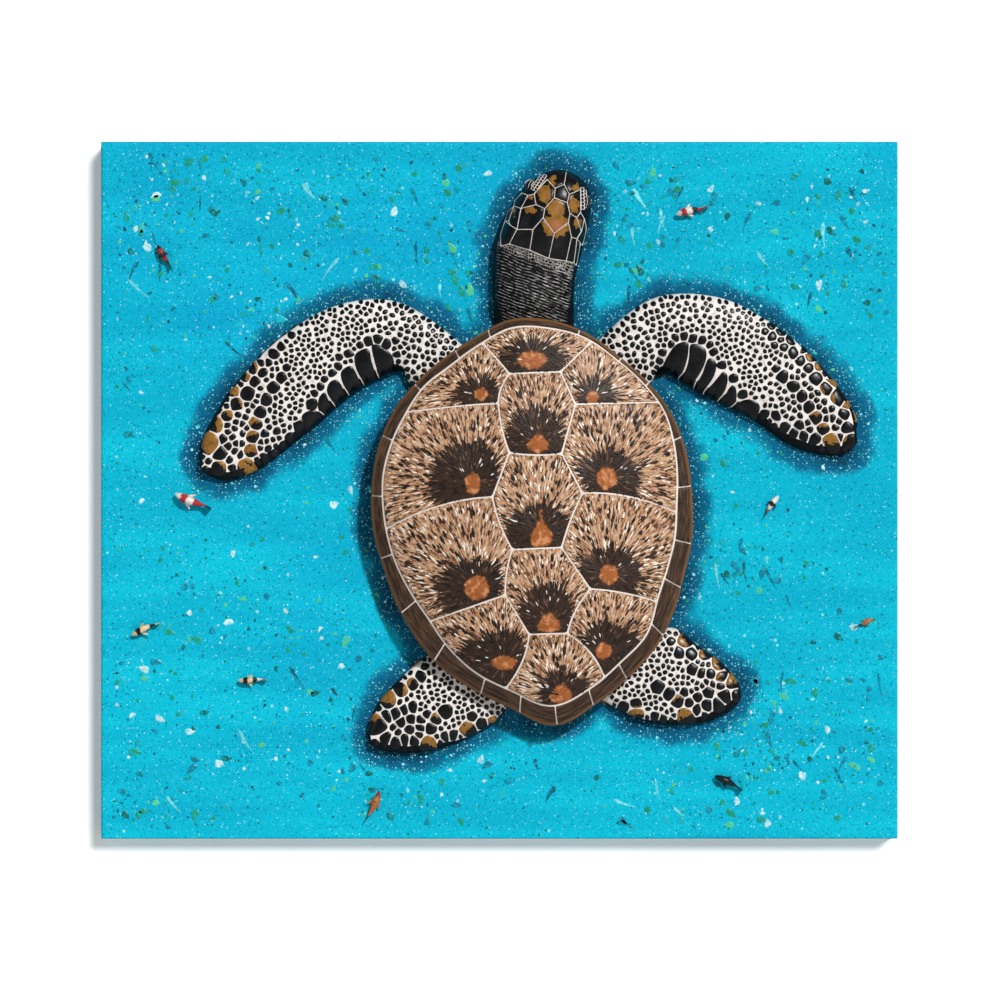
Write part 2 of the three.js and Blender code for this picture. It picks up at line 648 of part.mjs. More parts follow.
// Each eye is a ball set into the side of the head with its outer part showing.
const EYE_RADIUS = 3.6;
const eyes = { eye_left: [16.2, 154.3, 30], eye_right: [43.3, 146.3, 31] };
const ball = (radius, centre) => new THREE.SphereGeometry(radius, 20, 14).translate(...centre);

let head = union([skull, ...headPlates]);
for (const [name, centre] of Object.entries(eyes)) {
  head = head.subtract(solid(ball(EYE_RADIUS + GAP, centre)));
  add(name, ball(EYE_RADIUS, centre), eyePaint);
}
add('head', largest(head), skinPaint);

export default panel;
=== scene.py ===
import math
import random

import bmesh
import bpy
import numpy
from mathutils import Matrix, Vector, noise
from mathutils.bvhtree import BVHTree


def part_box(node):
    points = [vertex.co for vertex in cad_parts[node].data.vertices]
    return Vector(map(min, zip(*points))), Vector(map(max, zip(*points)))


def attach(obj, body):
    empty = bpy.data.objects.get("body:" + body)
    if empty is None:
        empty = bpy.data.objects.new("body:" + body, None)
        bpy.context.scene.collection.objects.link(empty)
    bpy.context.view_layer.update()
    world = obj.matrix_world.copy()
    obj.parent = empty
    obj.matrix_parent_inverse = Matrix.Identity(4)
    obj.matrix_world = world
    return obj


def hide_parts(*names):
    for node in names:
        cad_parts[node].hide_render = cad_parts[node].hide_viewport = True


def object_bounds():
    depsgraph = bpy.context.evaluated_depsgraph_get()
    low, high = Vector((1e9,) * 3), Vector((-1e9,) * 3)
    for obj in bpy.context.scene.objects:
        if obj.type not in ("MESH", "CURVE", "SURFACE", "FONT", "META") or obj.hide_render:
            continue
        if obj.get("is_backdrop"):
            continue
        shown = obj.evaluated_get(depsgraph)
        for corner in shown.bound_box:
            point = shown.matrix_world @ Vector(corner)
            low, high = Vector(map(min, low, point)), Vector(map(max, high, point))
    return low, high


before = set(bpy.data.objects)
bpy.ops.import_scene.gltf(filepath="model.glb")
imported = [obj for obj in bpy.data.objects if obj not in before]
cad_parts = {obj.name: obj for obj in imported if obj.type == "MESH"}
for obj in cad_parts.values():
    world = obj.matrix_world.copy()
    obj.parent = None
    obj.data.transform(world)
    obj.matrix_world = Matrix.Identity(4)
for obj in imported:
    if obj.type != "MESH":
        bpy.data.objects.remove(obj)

cad_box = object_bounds()

# ---------------------------------------------------------------- where it hangs
# The panel hangs flat on a plain white wall, over a pale floor. One lamp stands high on the right
# and throws the turtle's shadow, and soft light comes from all round.

MM = 0.001
canvas_low, canvas_high = [Vector(corner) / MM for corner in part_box("canvas")]
PANEL_WIDTH = canvas_high.x - canvas_low.x
PANEL_HEIGHT = canvas_high.z - canvas_low.z
PANEL_DEPTH = canvas_high.y - canvas_low.y
PANEL_MIDDLE = (canvas_high.z + canvas_low.z) / 2


def on_panel(x, y, z):
    """A point in millimetres from the middle of the panel's back: to the right, up, and out."""
    return Vector((x, -z, y + PANEL_MIDDLE)) * MM


def off_panel(point):
    """The same three distances, in millimetres, of a point of the scene."""
    return point.x / MM, point.z / MM - PANEL_MIDDLE, -point.y / MM


def feed(node, inputs):
    """Gives a shader node its inputs. Each is a plain value, or a socket to link from."""
    for key, value in inputs.items():
        if isinstance(value, bpy.types.NodeSocket):
            node.id_data.links.new(value, node.inputs[key])
        else:
            node.inputs[key].default_value = value


def put(beside, kind, inputs=None, **settings):
    """Adds a shader node to the tree that another node or socket is in."""
    node = beside.id_data.nodes.new("ShaderNode" + kind)
    for name, value in settings.items():
        setattr(node, name, value)
    feed(node, inputs or {})
    return node


def new_material(name, mirroring=0.5):
    """A new material, its piece's coordinates and its shader. Matt paint mirrors little."""
    material = bpy.data.materials.new(name)
    material.use_nodes = True
    shader = material.node_tree.nodes["Principled BSDF"]
    feed(shader, {"Specular IOR Level": mirroring})
    return material, put(shader, "TexCoord").outputs["Object"], shader


def paint(red, green, blue):
    """A colour as it is seen, from 0 to 255, made a linear one for the shaders."""
    def linear(value):
        value /= 255
        return value / 12.92 if value <= 0.04045 else ((value + 0.055) / 1.055) ** 2.4
    return (linear(red), linear(green), linear(blue), 1)


def place_object(name, data):
    """Puts a mesh, lamp or camera in the scene."""
    thing = bpy.data.objects.new(name, data)
    bpy.context.collection.objects.link(thing)
    return thing


def new_piece(name, mesh, *materials, crease=0.6):
    """Makes a piece of a bmesh given in metres, smooth but at edges sharper than the crease."""
    for face in mesh.faces:
        face.smooth = True
    for edge in mesh.edges:
        edge.smooth = len(edge.link_faces) != 2 or edge.calc_face_angle() < crease
    data = bpy.data.meshes.new(name)
    mesh.to_mesh(data)
    mesh.free()
    for material in materials:
        data.materials.append(material)
    return place_object(name, data)


LENS, SENSOR = 250, 36
PICTURE_WIDTH = 0.51
VIEW_ASIDE, VIEW_UP = 0.0003, -5.0  # metres to the right, and millimetres up, from the middle
camera = place_object("camera", bpy.data.cameras.new("camera"))
camera.data.lens = LENS
camera.data.sensor_width = SENSOR
camera.location = on_panel(0, VIEW_UP, PANEL_DEPTH)
camera.location.x = VIEW_ASIDE
camera.location.y -= PICTURE_WIDTH * LENS / SENSOR
camera.rotation_euler = (math.pi / 2, 0, 0)
bpy.context.scene.camera = camera
bpy.context.scene.view_settings.view_transform = "Standard"


def new_light(name, kind, direction, power, place=(0, 0, 0), **settings):
    """A lamp whose light comes from a direction."""
    light = place_object(name, bpy.data.lights.new(name, kind))
    light.data.energy = power
    for setting, value in settings.items():
        setattr(light.data, setting, value)
    light.location = place
    light.rotation_euler = Vector(direction).to_track_quat("Z", "Y").to_euler()
    return light


lamp = new_light("lamp", "SUN", (0.375, -0.777, 0.505), 2.75, angle=math.radians(4.5))
wall_lamp = new_light("wall_lamp", "SUN", (0.33, -0.88, 0.33), 3.8, angle=math.radians(18))
FILL_AIM = Vector((0, 0, -0.17))
for name, place, size, power in (
    ("left_fill", (-1.6, -1.5, 0.2), 1.2, 3), ("back_fill", (0.9, 1.8, 0.7), 1.4, 22),
):
    new_light(name, "AREA", Vector(place) - FILL_AIM, power, place, size=size)

room = bpy.data.worlds.new("room")
room.use_nodes = True
feed(room.node_tree.nodes["Background"], {"Color": (1, 1, 1, 1), "Strength": 0.17})
bpy.context.scene.world = room


def stage_paint(name, mirroring, grain, dim, bright):
    """Plain paint with faint speckles, and its shader."""
    material, _, shader = new_material(name, mirroring)
    speckle = put(shader, "TexNoise", {"Scale": grain, "Detail": 4}).outputs["Fac"]
    shade = put(shader, "MapRange", {"Value": speckle, "To Min": dim, "To Max": bright}).outputs["Result"]
    feed(shader, {"Base Color": shade, "Emission Color": shade})
    return material, shader


def stage_sheet(name, material, half_size, middle, upright):
    """A square sheet of the stage, which faces forwards when it is upright, and else up."""
    mesh = bmesh.new()
    bmesh.ops.create_grid(mesh, x_segments=1, y_segments=1, size=half_size)
    for vert in mesh.verts:
        x, y, _ = vert.co
        vert.co = Vector((x, 0, y) if upright else (x, y, 0)) + Vector(middle)
    sheet = new_piece(name, mesh, material)
    sheet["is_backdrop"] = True
    return sheet


# The wall is seen from its front only, so that the panel's back can be looked at.
WALL_BEHIND = 0.0012
wall_paint, shader = stage_paint("wall_paint", 0.1, 30, 0.93, 0.97)
feed(shader, {"Roughness": 0.9, "Emission Strength": 0.12})
behind = put(shader, "NewGeometry").outputs["Backfacing"]
clear = put(shader, "BsdfTransparent").outputs["BSDF"]
either = put(shader, "MixShader", {0: behind, 1: shader.outputs["BSDF"], 2: clear}).outputs[0]
feed(wall_paint.node_tree.nodes["Material Output"], {"Surface": either})
wall = stage_sheet("wall", wall_paint, 4, (0, WALL_BEHIND, 0), True)
wall.visible_shadow = wall.visible_diffuse = wall.visible_glossy = False

# The lamp lights all but the wall, and the wall has a softer one of its own.
for light, state in ((lamp, "EXCLUDE"), (wall_lamp, "INCLUDE")):
    lit = bpy.data.collections.new(light.name + "_lit")
    lit.objects.link(wall)
    lit.collection_objects[0].light_linking.link_state = state
    light.light_linking.receiver_collection = lit

FLOOR_BELOW = -0.95
floor_paint, _ = stage_paint("floor_paint", 0.5, 6, 0.7, 0.75)
stage_sheet("floor", floor_paint, 6, (0, 0, FLOOR_BELOW), False)

# ---------------------------------------------------------------- stretcher bars
# Four planed pine bars, mitred and pressed together at the corners. Their front edges slope back,
# so that the cloth touches only the outer edge.


def new_group(name, inputs, outputs):
    """An empty shader group, the sockets that it is given, and its end node."""
    group = bpy.data.node_groups.new(name, "ShaderNodeTree")
    for direction, sockets in (("INPUT", inputs), ("OUTPUT", outputs)):
        for socket, kind in sockets.items():
            group.interface.new_socket(socket, in_out=direction, socket_type="NodeSocket" + kind)
    return group, group.nodes.new("NodeGroupInput").outputs, group.nodes.new("NodeGroupOutput")


def reckon(operation, *values):
    """One sum on numbers that change over the surface."""
    beside = next(value for value in values if isinstance(value, bpy.types.NodeSocket))
    return put(beside, "Math", dict(enumerate(values)), operation=operation).outputs[0]


def scaled(value, times, plus):
    return reckon("MULTIPLY_ADD", value, times, plus)


def vectors(operation, first, second):
    return put(first, "VectorMath", {0: first, 1: second}, operation=operation).outputs[0]


def parts_of(vector):
    return put(vector, "SeparateXYZ", {0: vector}).outputs


def stretched(coords, scale, turn=0):
    """The coordinates stretched along their axes, then turned about Y."""
    return put(coords, "Mapping", {"Vector": coords, "Scale": scale, "Rotation": (0, turn, 0)}).outputs[0]


def mottle(coords, scale, detail, rough=0.5, output="Fac"):
    """Soft random cloudiness, so many clouds a metre."""
    inputs = {"Vector": coords, "Scale": scale, "Detail": detail, "Roughness": rough}
    return put(coords, "TexNoise", inputs).outputs[output]


def rise(value, low, high):
    """A soft step from 0 to 1 as the value goes from low to high."""
    inputs = {"Value": value, "From Min": low, "From Max": high}
    return put(value, "MapRange", inputs, interpolation_type="SMOOTHSTEP").outputs["Result"]


def blended(share, first, second, kind="MIX"):
    """Two colours mixed by a share."""
    beside = second if isinstance(second, bpy.types.NodeSocket) else share
    return put(beside, "Mix", {0: share, 6: first, 7: second}, data_type="RGBA", blend_type=kind).outputs[2]


def layered(base, *coats):
    """Coats over a colour. Each has a mask, the values where it begins and is full, and its colour."""
    for mask, low, high, tint in coats:
        base = blended(rise(mask, low, high), base, tint)
    return base


def shaded(base, tone):
    """A colour darkened or lightened by a tone."""
    return blended(1.0, base, tone, "MULTIPLY")


def bumped(shader, height, distance, strength=1.0):
    """Feeds a height, in the unit that distance gives, to the shader's normal."""
    bump = put(shader, "Bump", {"Height": height, "Distance": distance, "Strength": strength})
    feed(shader, {"Normal": bump.outputs["Normal"]})


# Growth rings and pores of planed softwood, running along the vector's X axis.
softwood, given, end = new_group("softwood", {"Vector": "Vector"}, {"Rings": "Float", "Pores": "Float"})
wander = mottle(stretched(given["Vector"], (1.5, 22, 22)), 1.6, 3, output="Color")
bent = vectors("ADD", stretched(given["Vector"], (3, 150, 150)), wander)
rings = put(bent, "TexWave", {"Vector": bent, "Scale": 0.35, "Distortion": 3.5, "Detail": 2},
            bands_direction="Y").outputs["Fac"]
feed(end, {"Rings": rings, "Pores": mottle(stretched(given["Vector"], (40, 1400, 1400)), 1, 3)})

PINE_PALE, PINE_DARK, PINE_AGED = paint(226, 196, 150), paint(190, 143, 92), paint(205, 168, 118)


def pine(name, turn):
    """Pine whose grain runs along X once it is turned about Y."""
    material, coords, shader = new_material(name)
    grain = put(coords, "Group", {"Vector": stretched(coords, (1, 1, 1), turn)}, node_tree=softwood).outputs
    aged = mottle(coords, 25, 3)
    base = layered(PINE_PALE, (grain["Rings"], 0.35, 0.95, PINE_DARK), (aged, 0.45, 0.8, PINE_AGED))
    feed(shader, {
        "Base Color": shaded(base, scaled(grain["Pores"], 0.35, 0.8)),
        "Roughness": scaled(grain["Pores"], 0.2, 0.52),
    })
    bumped(shader, grain["Pores"], 0.00015, 0.7)
    return material


def dress(node, material):
    """Gives a node of the frame its material, on every slot that it has."""
    data = bpy.data.objects[node].data
    if not data.materials:
        data.materials.append(material)
    for slot in range(len(data.materials)):
        data.materials[slot] = material


for name, turn, bars in (
    ("pine_level", 0, ("bar_top", "bar_bottom")), ("pine_upright", math.pi / 2, ("bar_left", "bar_right")),
):
    material = pine(name, turn)
    for bar in bars:
        dress(bar, material)

# ---------------------------------------------------------------- hanger
# A saw-tooth strip of zinc-plated steel on the back of the top bar, held by two brads whose
# heads sit in its ends.

plated_steel, coords, shader = new_material("plated_steel")
scratch = mottle(stretched(coords, (60, 60, 2600)), 1, 4)
spangle = put(coords, "TexVoronoi", {"Vector": coords, "Scale": 350}).outputs["Color"]
zinc = blended(spangle, paint(176, 178, 180), paint(205, 206, 208))
feed(shader, {"Base Color": zinc, "Metallic": 1, "Roughness": scaled(scratch, 0.3, 0.22)})
bumped(shader, scratch, 0.00005)
dress("hanger", plated_steel)


def set_on_panel(mesh):
    """Takes a bmesh from the panel's millimetres to its place, with its faces outwards."""
    for vert in mesh.verts:
        vert.co = on_panel(*vert.co)
    mesh.normal_update()
    bmesh.ops.recalc_face_normals(mesh, faces=mesh.faces)


hanger_low, hanger_high = [Vector(corner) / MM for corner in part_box("hanger")]
BRAD_INSET, BRAD_RADIUS = 4.5, 1.5
BRAD_HEAD, BRAD_LIP, BRAD_DISH = 0.12, 0.35, 0.06
brads = bmesh.new()
for x in (hanger_low.x + BRAD_INSET, hanger_high.x - BRAD_INSET):
    middle = Vector((x, (hanger_low.z + hanger_high.z) / 2 - PANEL_MIDDLE, -hanger_high.y + 0.02))
    head = bmesh.ops.create_circle(brads, cap_ends=True, segments=20, radius=BRAD_RADIUS)["verts"]
    bmesh.ops.translate(brads, verts=head, vec=middle)
    top = bmesh.ops.extrude_discrete_faces(brads, faces=head[0].link_faces[:])["faces"]
    bmesh.ops.translate(brads, verts=top[0].verts[:], vec=(0, 0, -BRAD_HEAD))
    bmesh.ops.inset_individual(brads, faces=top, thickness=BRAD_LIP, depth=BRAD_DISH)
set_on_panel(brads)
hanger_brads = new_piece("hanger_brads", brads, plated_steel)
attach(hanger_brads, "root")

# ---------------------------------------------------------------- canvas
# Primed cotton, pulled round the bars and stapled to their backs, with its corners folded over.
# The front and sides are painted a bright sea blue, and the turned flaps behind are bare cloth.

CLOTH_THICKNESS = 0.5
FLAP = 20
FRONT_ROUND, BACK_ROUND = 1.2, 0.8
CORNER_ROUND = 1.8  # less than one step of the grid
CLOTH_GRID = (200, 176)
RAVEL = 0.9  # how far the cut edge wanders
STEEP = 0.7  # of a normal's part, where the cloth has turned to its side or back


def quarter_turn(radius, steps):
    """How far in and how far on each step of a rounded edge comes."""
    for k in range(1, steps + 1):
        turn = math.pi / 2 * k / steps
        yield radius * (1 - math.cos(turn)), radius * math.sin(turn)


# The cloth's section beyond the flat front: how far in from the panel's outer edge, and how high.
side_run = PANEL_DEPTH - FRONT_ROUND - BACK_ROUND
cloth_section = [(FRONT_ROUND - on, PANEL_DEPTH - back) for back, on in quarter_turn(FRONT_ROUND, 4)]
cloth_section += [(0, PANEL_DEPTH - FRONT_ROUND - side_run * k / 5) for k in (1, 2, 3, 4, 5)]
cloth_section += [(inwards, BACK_ROUND - on) for inwards, on in quarter_turn(BACK_ROUND, 3)]
cloth_section += [(BACK_ROUND + (FLAP - BACK_ROUND) * k / 4, 0) for k in (1, 2, 3, 4)]


def verts_of(edges):
    return {vert for edge in edges for vert in edge.verts}


def at_corner(vert):
    return abs(vert.co.x) > PANEL_WIDTH / 2 - 0.01 and abs(vert.co.y) > PANEL_HEIGHT / 2 - 0.01


cloth = bmesh.new()
bmesh.ops.create_grid(cloth, x_segments=CLOTH_GRID[0], y_segments=CLOTH_GRID[1], size=1)
half_size = Vector((PANEL_WIDTH / 2 - FRONT_ROUND, PANEL_HEIGHT / 2 - FRONT_ROUND))
for vert in cloth.verts:
    vert.co = (vert.co.x * half_size.x, vert.co.y * half_size.y, PANEL_DEPTH)
hem = [edge for edge in cloth.edges if edge.is_boundary]
for inwards, height in cloth_section:
    grown = bmesh.ops.extrude_edge_only(cloth, edges=hem)["geom"]
    hem = [part for part in grown if isinstance(part, bmesh.types.BMEdge) and part.is_boundary]
    wider = Vector((PANEL_WIDTH / 2 - inwards, PANEL_HEIGHT / 2 - inwards))
    for vert in verts_of(hem):
        vert.co = (vert.co.x * wider.x / half_size.x, vert.co.y * wider.y / half_size.y, height)
    half_size = wider
for vert in verts_of(hem):
    ravel = RAVEL * noise.noise(vert.co * 0.11)
    vert.co.x *= 1 + ravel / half_size.x
    vert.co.y *= 1 + ravel / half_size.y
upright = [edge for edge in cloth.edges if all(at_corner(vert) for vert in edge.verts)]
bmesh.ops.bevel(cloth, geom=upright, affect="EDGES", offset=CORNER_ROUND, segments=3, profile=0.5,
                material=-1)

# The weave follows the flat cloth, so each point keeps its place on it, and the bare flaps on the
# back have the second material.
flat_place = cloth.loops.layers.uv.new("cloth")
for face in cloth.faces:
    middle, normal = face.calc_center_median(), face.normal
    face.material_index = 1 if normal.z < -STEEP else 0
    for loop in face.loops:
        x, y, z = loop.vert.co
        if abs(normal.x) > STEEP + 0.02:
            x += math.copysign(PANEL_DEPTH - z, middle.x)
        elif abs(normal.y) > STEEP + 0.02:
            y += math.copysign(PANEL_DEPTH - z, middle.y)
        loop[flat_place].uv = (x * MM, y * MM)
set_on_panel(cloth)

# Plain weave: warp and weft threads pass over and under by turns.
plain_weave, given, end = new_group(
    "plain_weave", {"Vector": "Vector", "Threads": "Float"}, {"Height": "Float"})
uneven = vectors("MULTIPLY", mottle(given["Vector"], 180, 2, output="Color"), (0.00045, 0.00045, 0))
place = parts_of(vectors("ADD", given["Vector"], uneven))
threads = [reckon("SINE", reckon("MULTIPLY", place[axis], given["Threads"])) for axis in ("X", "Y")]
over = reckon("GREATER_THAN", reckon("MULTIPLY", *threads), 0)
warp, weft = [reckon("ABSOLUTE", thread) for thread in threads]
weft_share = reckon("MULTIPLY", over, weft)
feed(end, {"Height": scaled(reckon("SUBTRACT", 1.0, over), warp, weft_share)})

THREAD_PITCH = 0.0008


def weave_height(coords):
    """How high the threads stand, by their places on the flat cloth."""
    flat = put(coords, "UVMap", uv_map="cloth").outputs["UV"]
    inputs = {"Vector": flat, "Threads": math.pi / THREAD_PITCH}
    return put(coords, "Group", inputs, node_tree=plain_weave).outputs["Height"]


def from_mesh(beside, name, output="Fac"):
    """A value that the mesh keeps on its points."""
    return put(beside, "Attribute", attribute_name=name).outputs[output]


def flecks(coords, per_metre, size, share):
    """A mask of tiny round drops: so many cells a metre, how big, and what share of cells has one."""
    cells = put(coords, "TexVoronoi", {"Vector": coords, "Scale": per_metre}).outputs
    lot = parts_of(cells["Color"])
    chosen = reckon("LESS_THAN", lot["X"], share)
    radius = scaled(lot["Y"], size * 0.7, size * 0.3)
    return reckon("MULTIPLY", chosen, reckon("LESS_THAN", cells["Distance"], radius))


SEA, SEA_PALE, SEA_DEEP = paint(0, 182, 213), paint(4, 202, 228), paint(0, 160, 212)
SPECK_TEAL, SPECK_PALE = paint(0, 104, 136), paint(96, 222, 236)
HALO_BLUE, HALO_DARK = paint(0, 100, 138), paint(0, 62, 92)
MIST_PALE, MIST_WHITE, MIST_GREEN = paint(150, 234, 240), paint(222, 246, 246), paint(16, 132, 96)

sea_paint, coords, shader = new_material("sea_paint", 0.08)
halo = from_mesh(coords, "halo")
sweeps = mottle(stretched(coords, (9, 1, 60), 0.12), 1, 4)
specks = mottle(coords, 1050, 2, 0.6)
# The blue is deepest at the upper left.
across = parts_of(coords)
leftward, upward = scaled(across["X"], -0.55, -0.02), scaled(across["Z"], 0.6, 0.12)
deepness = reckon("ADD", leftward, reckon("ADD", upward, mottle(coords, 7, 3)))
# The halo is patchy, as it is sprayed by hand.
sprayed = scaled(mottle(coords, 55, 3), 1.5, -0.75)
patchy = reckon("ADD", sprayed, reckon("SUBTRACT", specks, 0.5))
soft_halo = reckon("ADD", halo, reckon("MULTIPLY", patchy, rise(halo, 0.0, 0.3)))
base = layered(
    SEA, (sweeps, 0.35, 0.7, SEA_PALE), (deepness, 0.5, 0.95, SEA_DEEP), (soft_halo, 0.1, 0.7, HALO_BLUE),
    (soft_halo, 0.75, 1.25, HALO_DARK), (specks, 0.42, 0.26, SPECK_TEAL), (specks, 0.62, 0.78, SPECK_PALE),
)
near = scaled(rise(halo, 0.0, 0.35), 0.3, 0.07)
for per_metre, size, share, tint in (
    (300, 0.2, 0.1, MIST_GREEN), (420, 0.22, 0.12, SPECK_TEAL), (560, 0.26, 0.08, SPECK_TEAL),
    (600, 0.28, near, MIST_PALE), (900, 0.34, near, MIST_PALE), (520, 0.22, 0.07, MIST_WHITE),
    (240, 0.19, near, MIST_PALE),
):
    base = blended(flecks(coords, per_metre, size, share), base, tint)
film = mottle(coords, 900, 2)
feed(shader, {"Base Color": base, "Roughness": scaled(film, 0.2, 0.5)})
bumped(shader, scaled(film, 0.35, weave_height(coords)), 0.00011, 0.8)

COTTON, COTTON_AGED, COTTON_SLUB = paint(232, 222, 200), paint(212, 198, 170), paint(190, 172, 138)
bare_cotton, coords, shader = new_material("bare_cotton")
weave = weave_height(coords)
slubs = mottle(coords, 420, 2)
base = layered(COTTON, (mottle(coords, 14, 5), 0.35, 0.75, COTTON_AGED), (slubs, 0.62, 0.75, COTTON_SLUB))
# The hollows between the threads are painted darker in the cloth's colour: a painted shade, taken from the
# threads' height, on top of their bump.
feed(shader, {
    "Base Color": shaded(base, scaled(weave, 0.25, 0.75)), "Roughness": scaled(slubs, 0.1, 0.85),
    "Sheen Weight": 0.15,
})
bumped(shader, weave, 0.00016)

# Its inner face is bare as well: both sides of the thickness keep their own material.
canvas = new_piece("canvas_cloth", cloth, sea_paint, bare_cotton, crease=1.2)
thickness = canvas.modifiers.new("thickness", "SOLIDIFY")
thickness.thickness = CLOTH_THICKNESS * MM
thickness.offset = -1
thickness.material_offset = 1
thickness.material_offset_rim = 1
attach(canvas, "root")
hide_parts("canvas")


def enclosed(faces):
    """The volume within the faces of a closed shape, below zero where they point inwards."""
    start = faces[0].calc_center_median()
    return sum((face.calc_center_median() - start).dot(face.normal) * face.calc_area() for face in faces) / 3


def turn_outwards(mesh):
    """Turns the faces of each closed shape in a mesh outwards."""
    left = set(mesh.faces)
    while left:
        shape = [left.pop()]
        for face in shape:
            beside = {other for edge in face.edges for other in edge.link_faces} & left
            shape += beside
            left -= beside
        if enclosed(shape) < 0:
            bmesh.ops.reverse_faces(mesh, faces=shape)


# Where the corners are folded, the side flap lies over the end of the top or bottom flap.
FOLD_INSET, FOLD_LENGTH = 0.9, 24
FOLD_RISE, FOLD_FOOT = 0.45, 0.06
outer = Vector((PANEL_WIDTH / 2 - FOLD_INSET, PANEL_HEIGHT / 2 - FOLD_INSET))
inner = outer - Vector((FLAP - FOLD_INSET, FLAP - FOLD_INSET))
plan = [outer, inner, inner - Vector((0, FOLD_LENGTH)), Vector((outer.x, inner.y - FOLD_LENGTH))]
folds = bmesh.new()
for side_x, side_y in ((-1, -1), (-1, 1), (1, -1), (1, 1)):
    face = folds.faces.new([folds.verts.new((side_x * p.x, side_y * p.y, 0.02)) for p in plan])
    grown = bmesh.ops.extrude_face_region(folds, geom=[face], use_keep_orig=True)["geom"]
    for vert in [part for part in grown if isinstance(part, bmesh.types.BMVert)]:
        on_diagonal = abs(vert.co.y) > inner.y - 1
        vert.co.z -= FOLD_RISE if on_diagonal else FOLD_FOOT
rim = [edge for edge in folds.edges if edge.calc_face_angle(0) > 0.9]
bmesh.ops.bevel(folds, geom=rim, affect="EDGES", offset=0.15, segments=2, profile=0.5, material=-1)
flat_place = folds.loops.layers.uv.new("cloth")
for face in folds.faces:
    for loop in face.loops:
        loop[flat_place].uv = loop.vert.co.xy * MM
set_on_panel(folds)
turn_outwards(folds)
corner_folds = new_piece("corner_folds", folds, bare_cotton)
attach(corner_folds, "root")

# ---------------------------------------------------------------- staples
# Bent steel wire, shot through the flaps into the bars, a hand's breadth apart.

STAPLE_WIDTH, STAPLE_WIRE = 10, 0.55
STAPLE_STEP = 46
STAPLE_INSET = 11  # from the panel's edge
STAPLE_LEAN = 7  # degrees


def turned(x, y, angle):
    """A place turned about the origin."""
    return Vector((x * math.cos(angle) - y * math.sin(angle), x * math.sin(angle) + y * math.cos(angle)))


random.seed(11)
staples = bmesh.new()
for length, across, upright in ((PANEL_WIDTH, PANEL_HEIGHT, False), (PANEL_HEIGHT, PANEL_WIDTH, True)):
    count = round((length - 2 * FLAP) / STAPLE_STEP)
    for k in range(2 * count):
        along = (k // 2 + 0.5 - count / 2) * (length - 2 * FLAP) / count
        middle = Vector((along, (k % 2 * 2 - 1) * (across / 2 - STAPLE_INSET)))
        lean = math.radians(random.uniform(-STAPLE_LEAN, STAPLE_LEAN)) + (math.pi / 2 if upright else 0)
        for vert in bmesh.ops.create_cube(staples, size=1)["verts"]:
            place = turned(vert.co.x * STAPLE_WIDTH, vert.co.y * STAPLE_WIRE, lean)
            place += middle.yx if upright else middle
            vert.co = (*place, vert.co.z * STAPLE_WIRE - 0.02)
bmesh.ops.bevel(staples, geom=staples.edges[:], affect="EDGES", offset=0.16, segments=2, profile=0.5,
                material=-1)
set_on_panel(staples)
turn_outwards(staples)
staples = new_piece("staples", staples, plated_steel)
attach(staples, "root")

# ---------------------------------------------------------------- shell body
# A low cast dome with a sloped rim. Its top is painted off-white, and that shows as a thin line
# between the plates set on it. Its underside is dark.

SHELL_MIDDLE = Vector((16, -8))
SHELL_RADII = [  # every 12 degrees, from the right towards the top
    82.2, 82.7, 84.3, 85.7, 86.7, 88.4, 92.3, 95.0, 95.4, 90.5, 87.3, 85.8, 85.0, 83.6, 82.1,
    81.3, 81.3, 81.5, 84.7, 88.8, 93.8, 97.8, 103.2, 112.4, 106.2, 100.1, 95.8, 90.2, 85.5, 83.8,
]
RIM_WIDTHS = [
    8.3, 6.8, 5.0, 2.6, 2.2, 2.2, 2.7, 4.4, 4.6, 4.7, 5.3, 4.6, 6.2, 6.1, 5.6,
    6.3, 7.0, 7.1, 9.6, 11.5, 10.6, 8.6, 8.9, 10.4, 8.9, 8.7, 8.1, 10.6, 9.5, 9.1,
]
UNDERSIDE, RIM_TOP, SEAM_TOP, DOME_TOP = 12.3, 15.6, 17.6, 32.5  # heights above the canvas
RIM_OVERHANG = 0.5
SEAM_PAINT = 0.22  # how thick the white stands in the seams
DOME_SIDES = 180
DOME_TURNS = [360 * k / DOME_SIDES for k in range(DOME_SIDES)]


def curve(a, b, c, d, t):
    """A smooth value, part t of the way from b to c, given the values before and after them."""
    return b + 0.5 * t * (c - a + t * (2 * a - 5 * b + 4 * c - d + t * (3 * (b - c) + d - a)))


def around(sizes, degrees):
    """A smooth value at any angle, from sizes given at equal steps round the circle."""
    place = (degrees % 360) / (360 / len(sizes))
    k = math.floor(place)
    return curve(*[sizes[(k + step) % len(sizes)] for step in (-1, 0, 1, 2)], place - k)


def mix(low, high, t):
    return low + (high - low) * t


def shell_radius(degrees):
    return around(SHELL_RADII, degrees)


def seam_radius(degrees):
    return shell_radius(degrees) - around(RIM_WIDTHS, degrees)


def pointing(degrees):
    return Vector((math.cos(math.radians(degrees)), math.sin(math.radians(degrees))))


def from_middle(degrees, radius):
    return SHELL_MIDDLE + radius * pointing(degrees)


def angle_and_reach(place):
    """Which way a place lies from the shell's middle, in degrees, and how far."""
    away = Vector(place) - SHELL_MIDDLE
    return math.degrees(math.atan2(away.y, away.x)), away.length


def shell_floor(place):
    """The height of the seams' floor over a place on the shell."""
    degrees, reach = angle_and_reach(place)
    seam, outer = seam_radius(degrees), shell_radius(degrees)
    if reach >= seam:
        return mix(SEAM_TOP, RIM_TOP, min((reach - seam) / (outer - seam), 1))
    return mix(SEAM_TOP, DOME_TOP, (1 - (reach / seam) ** 2) ** 0.85)


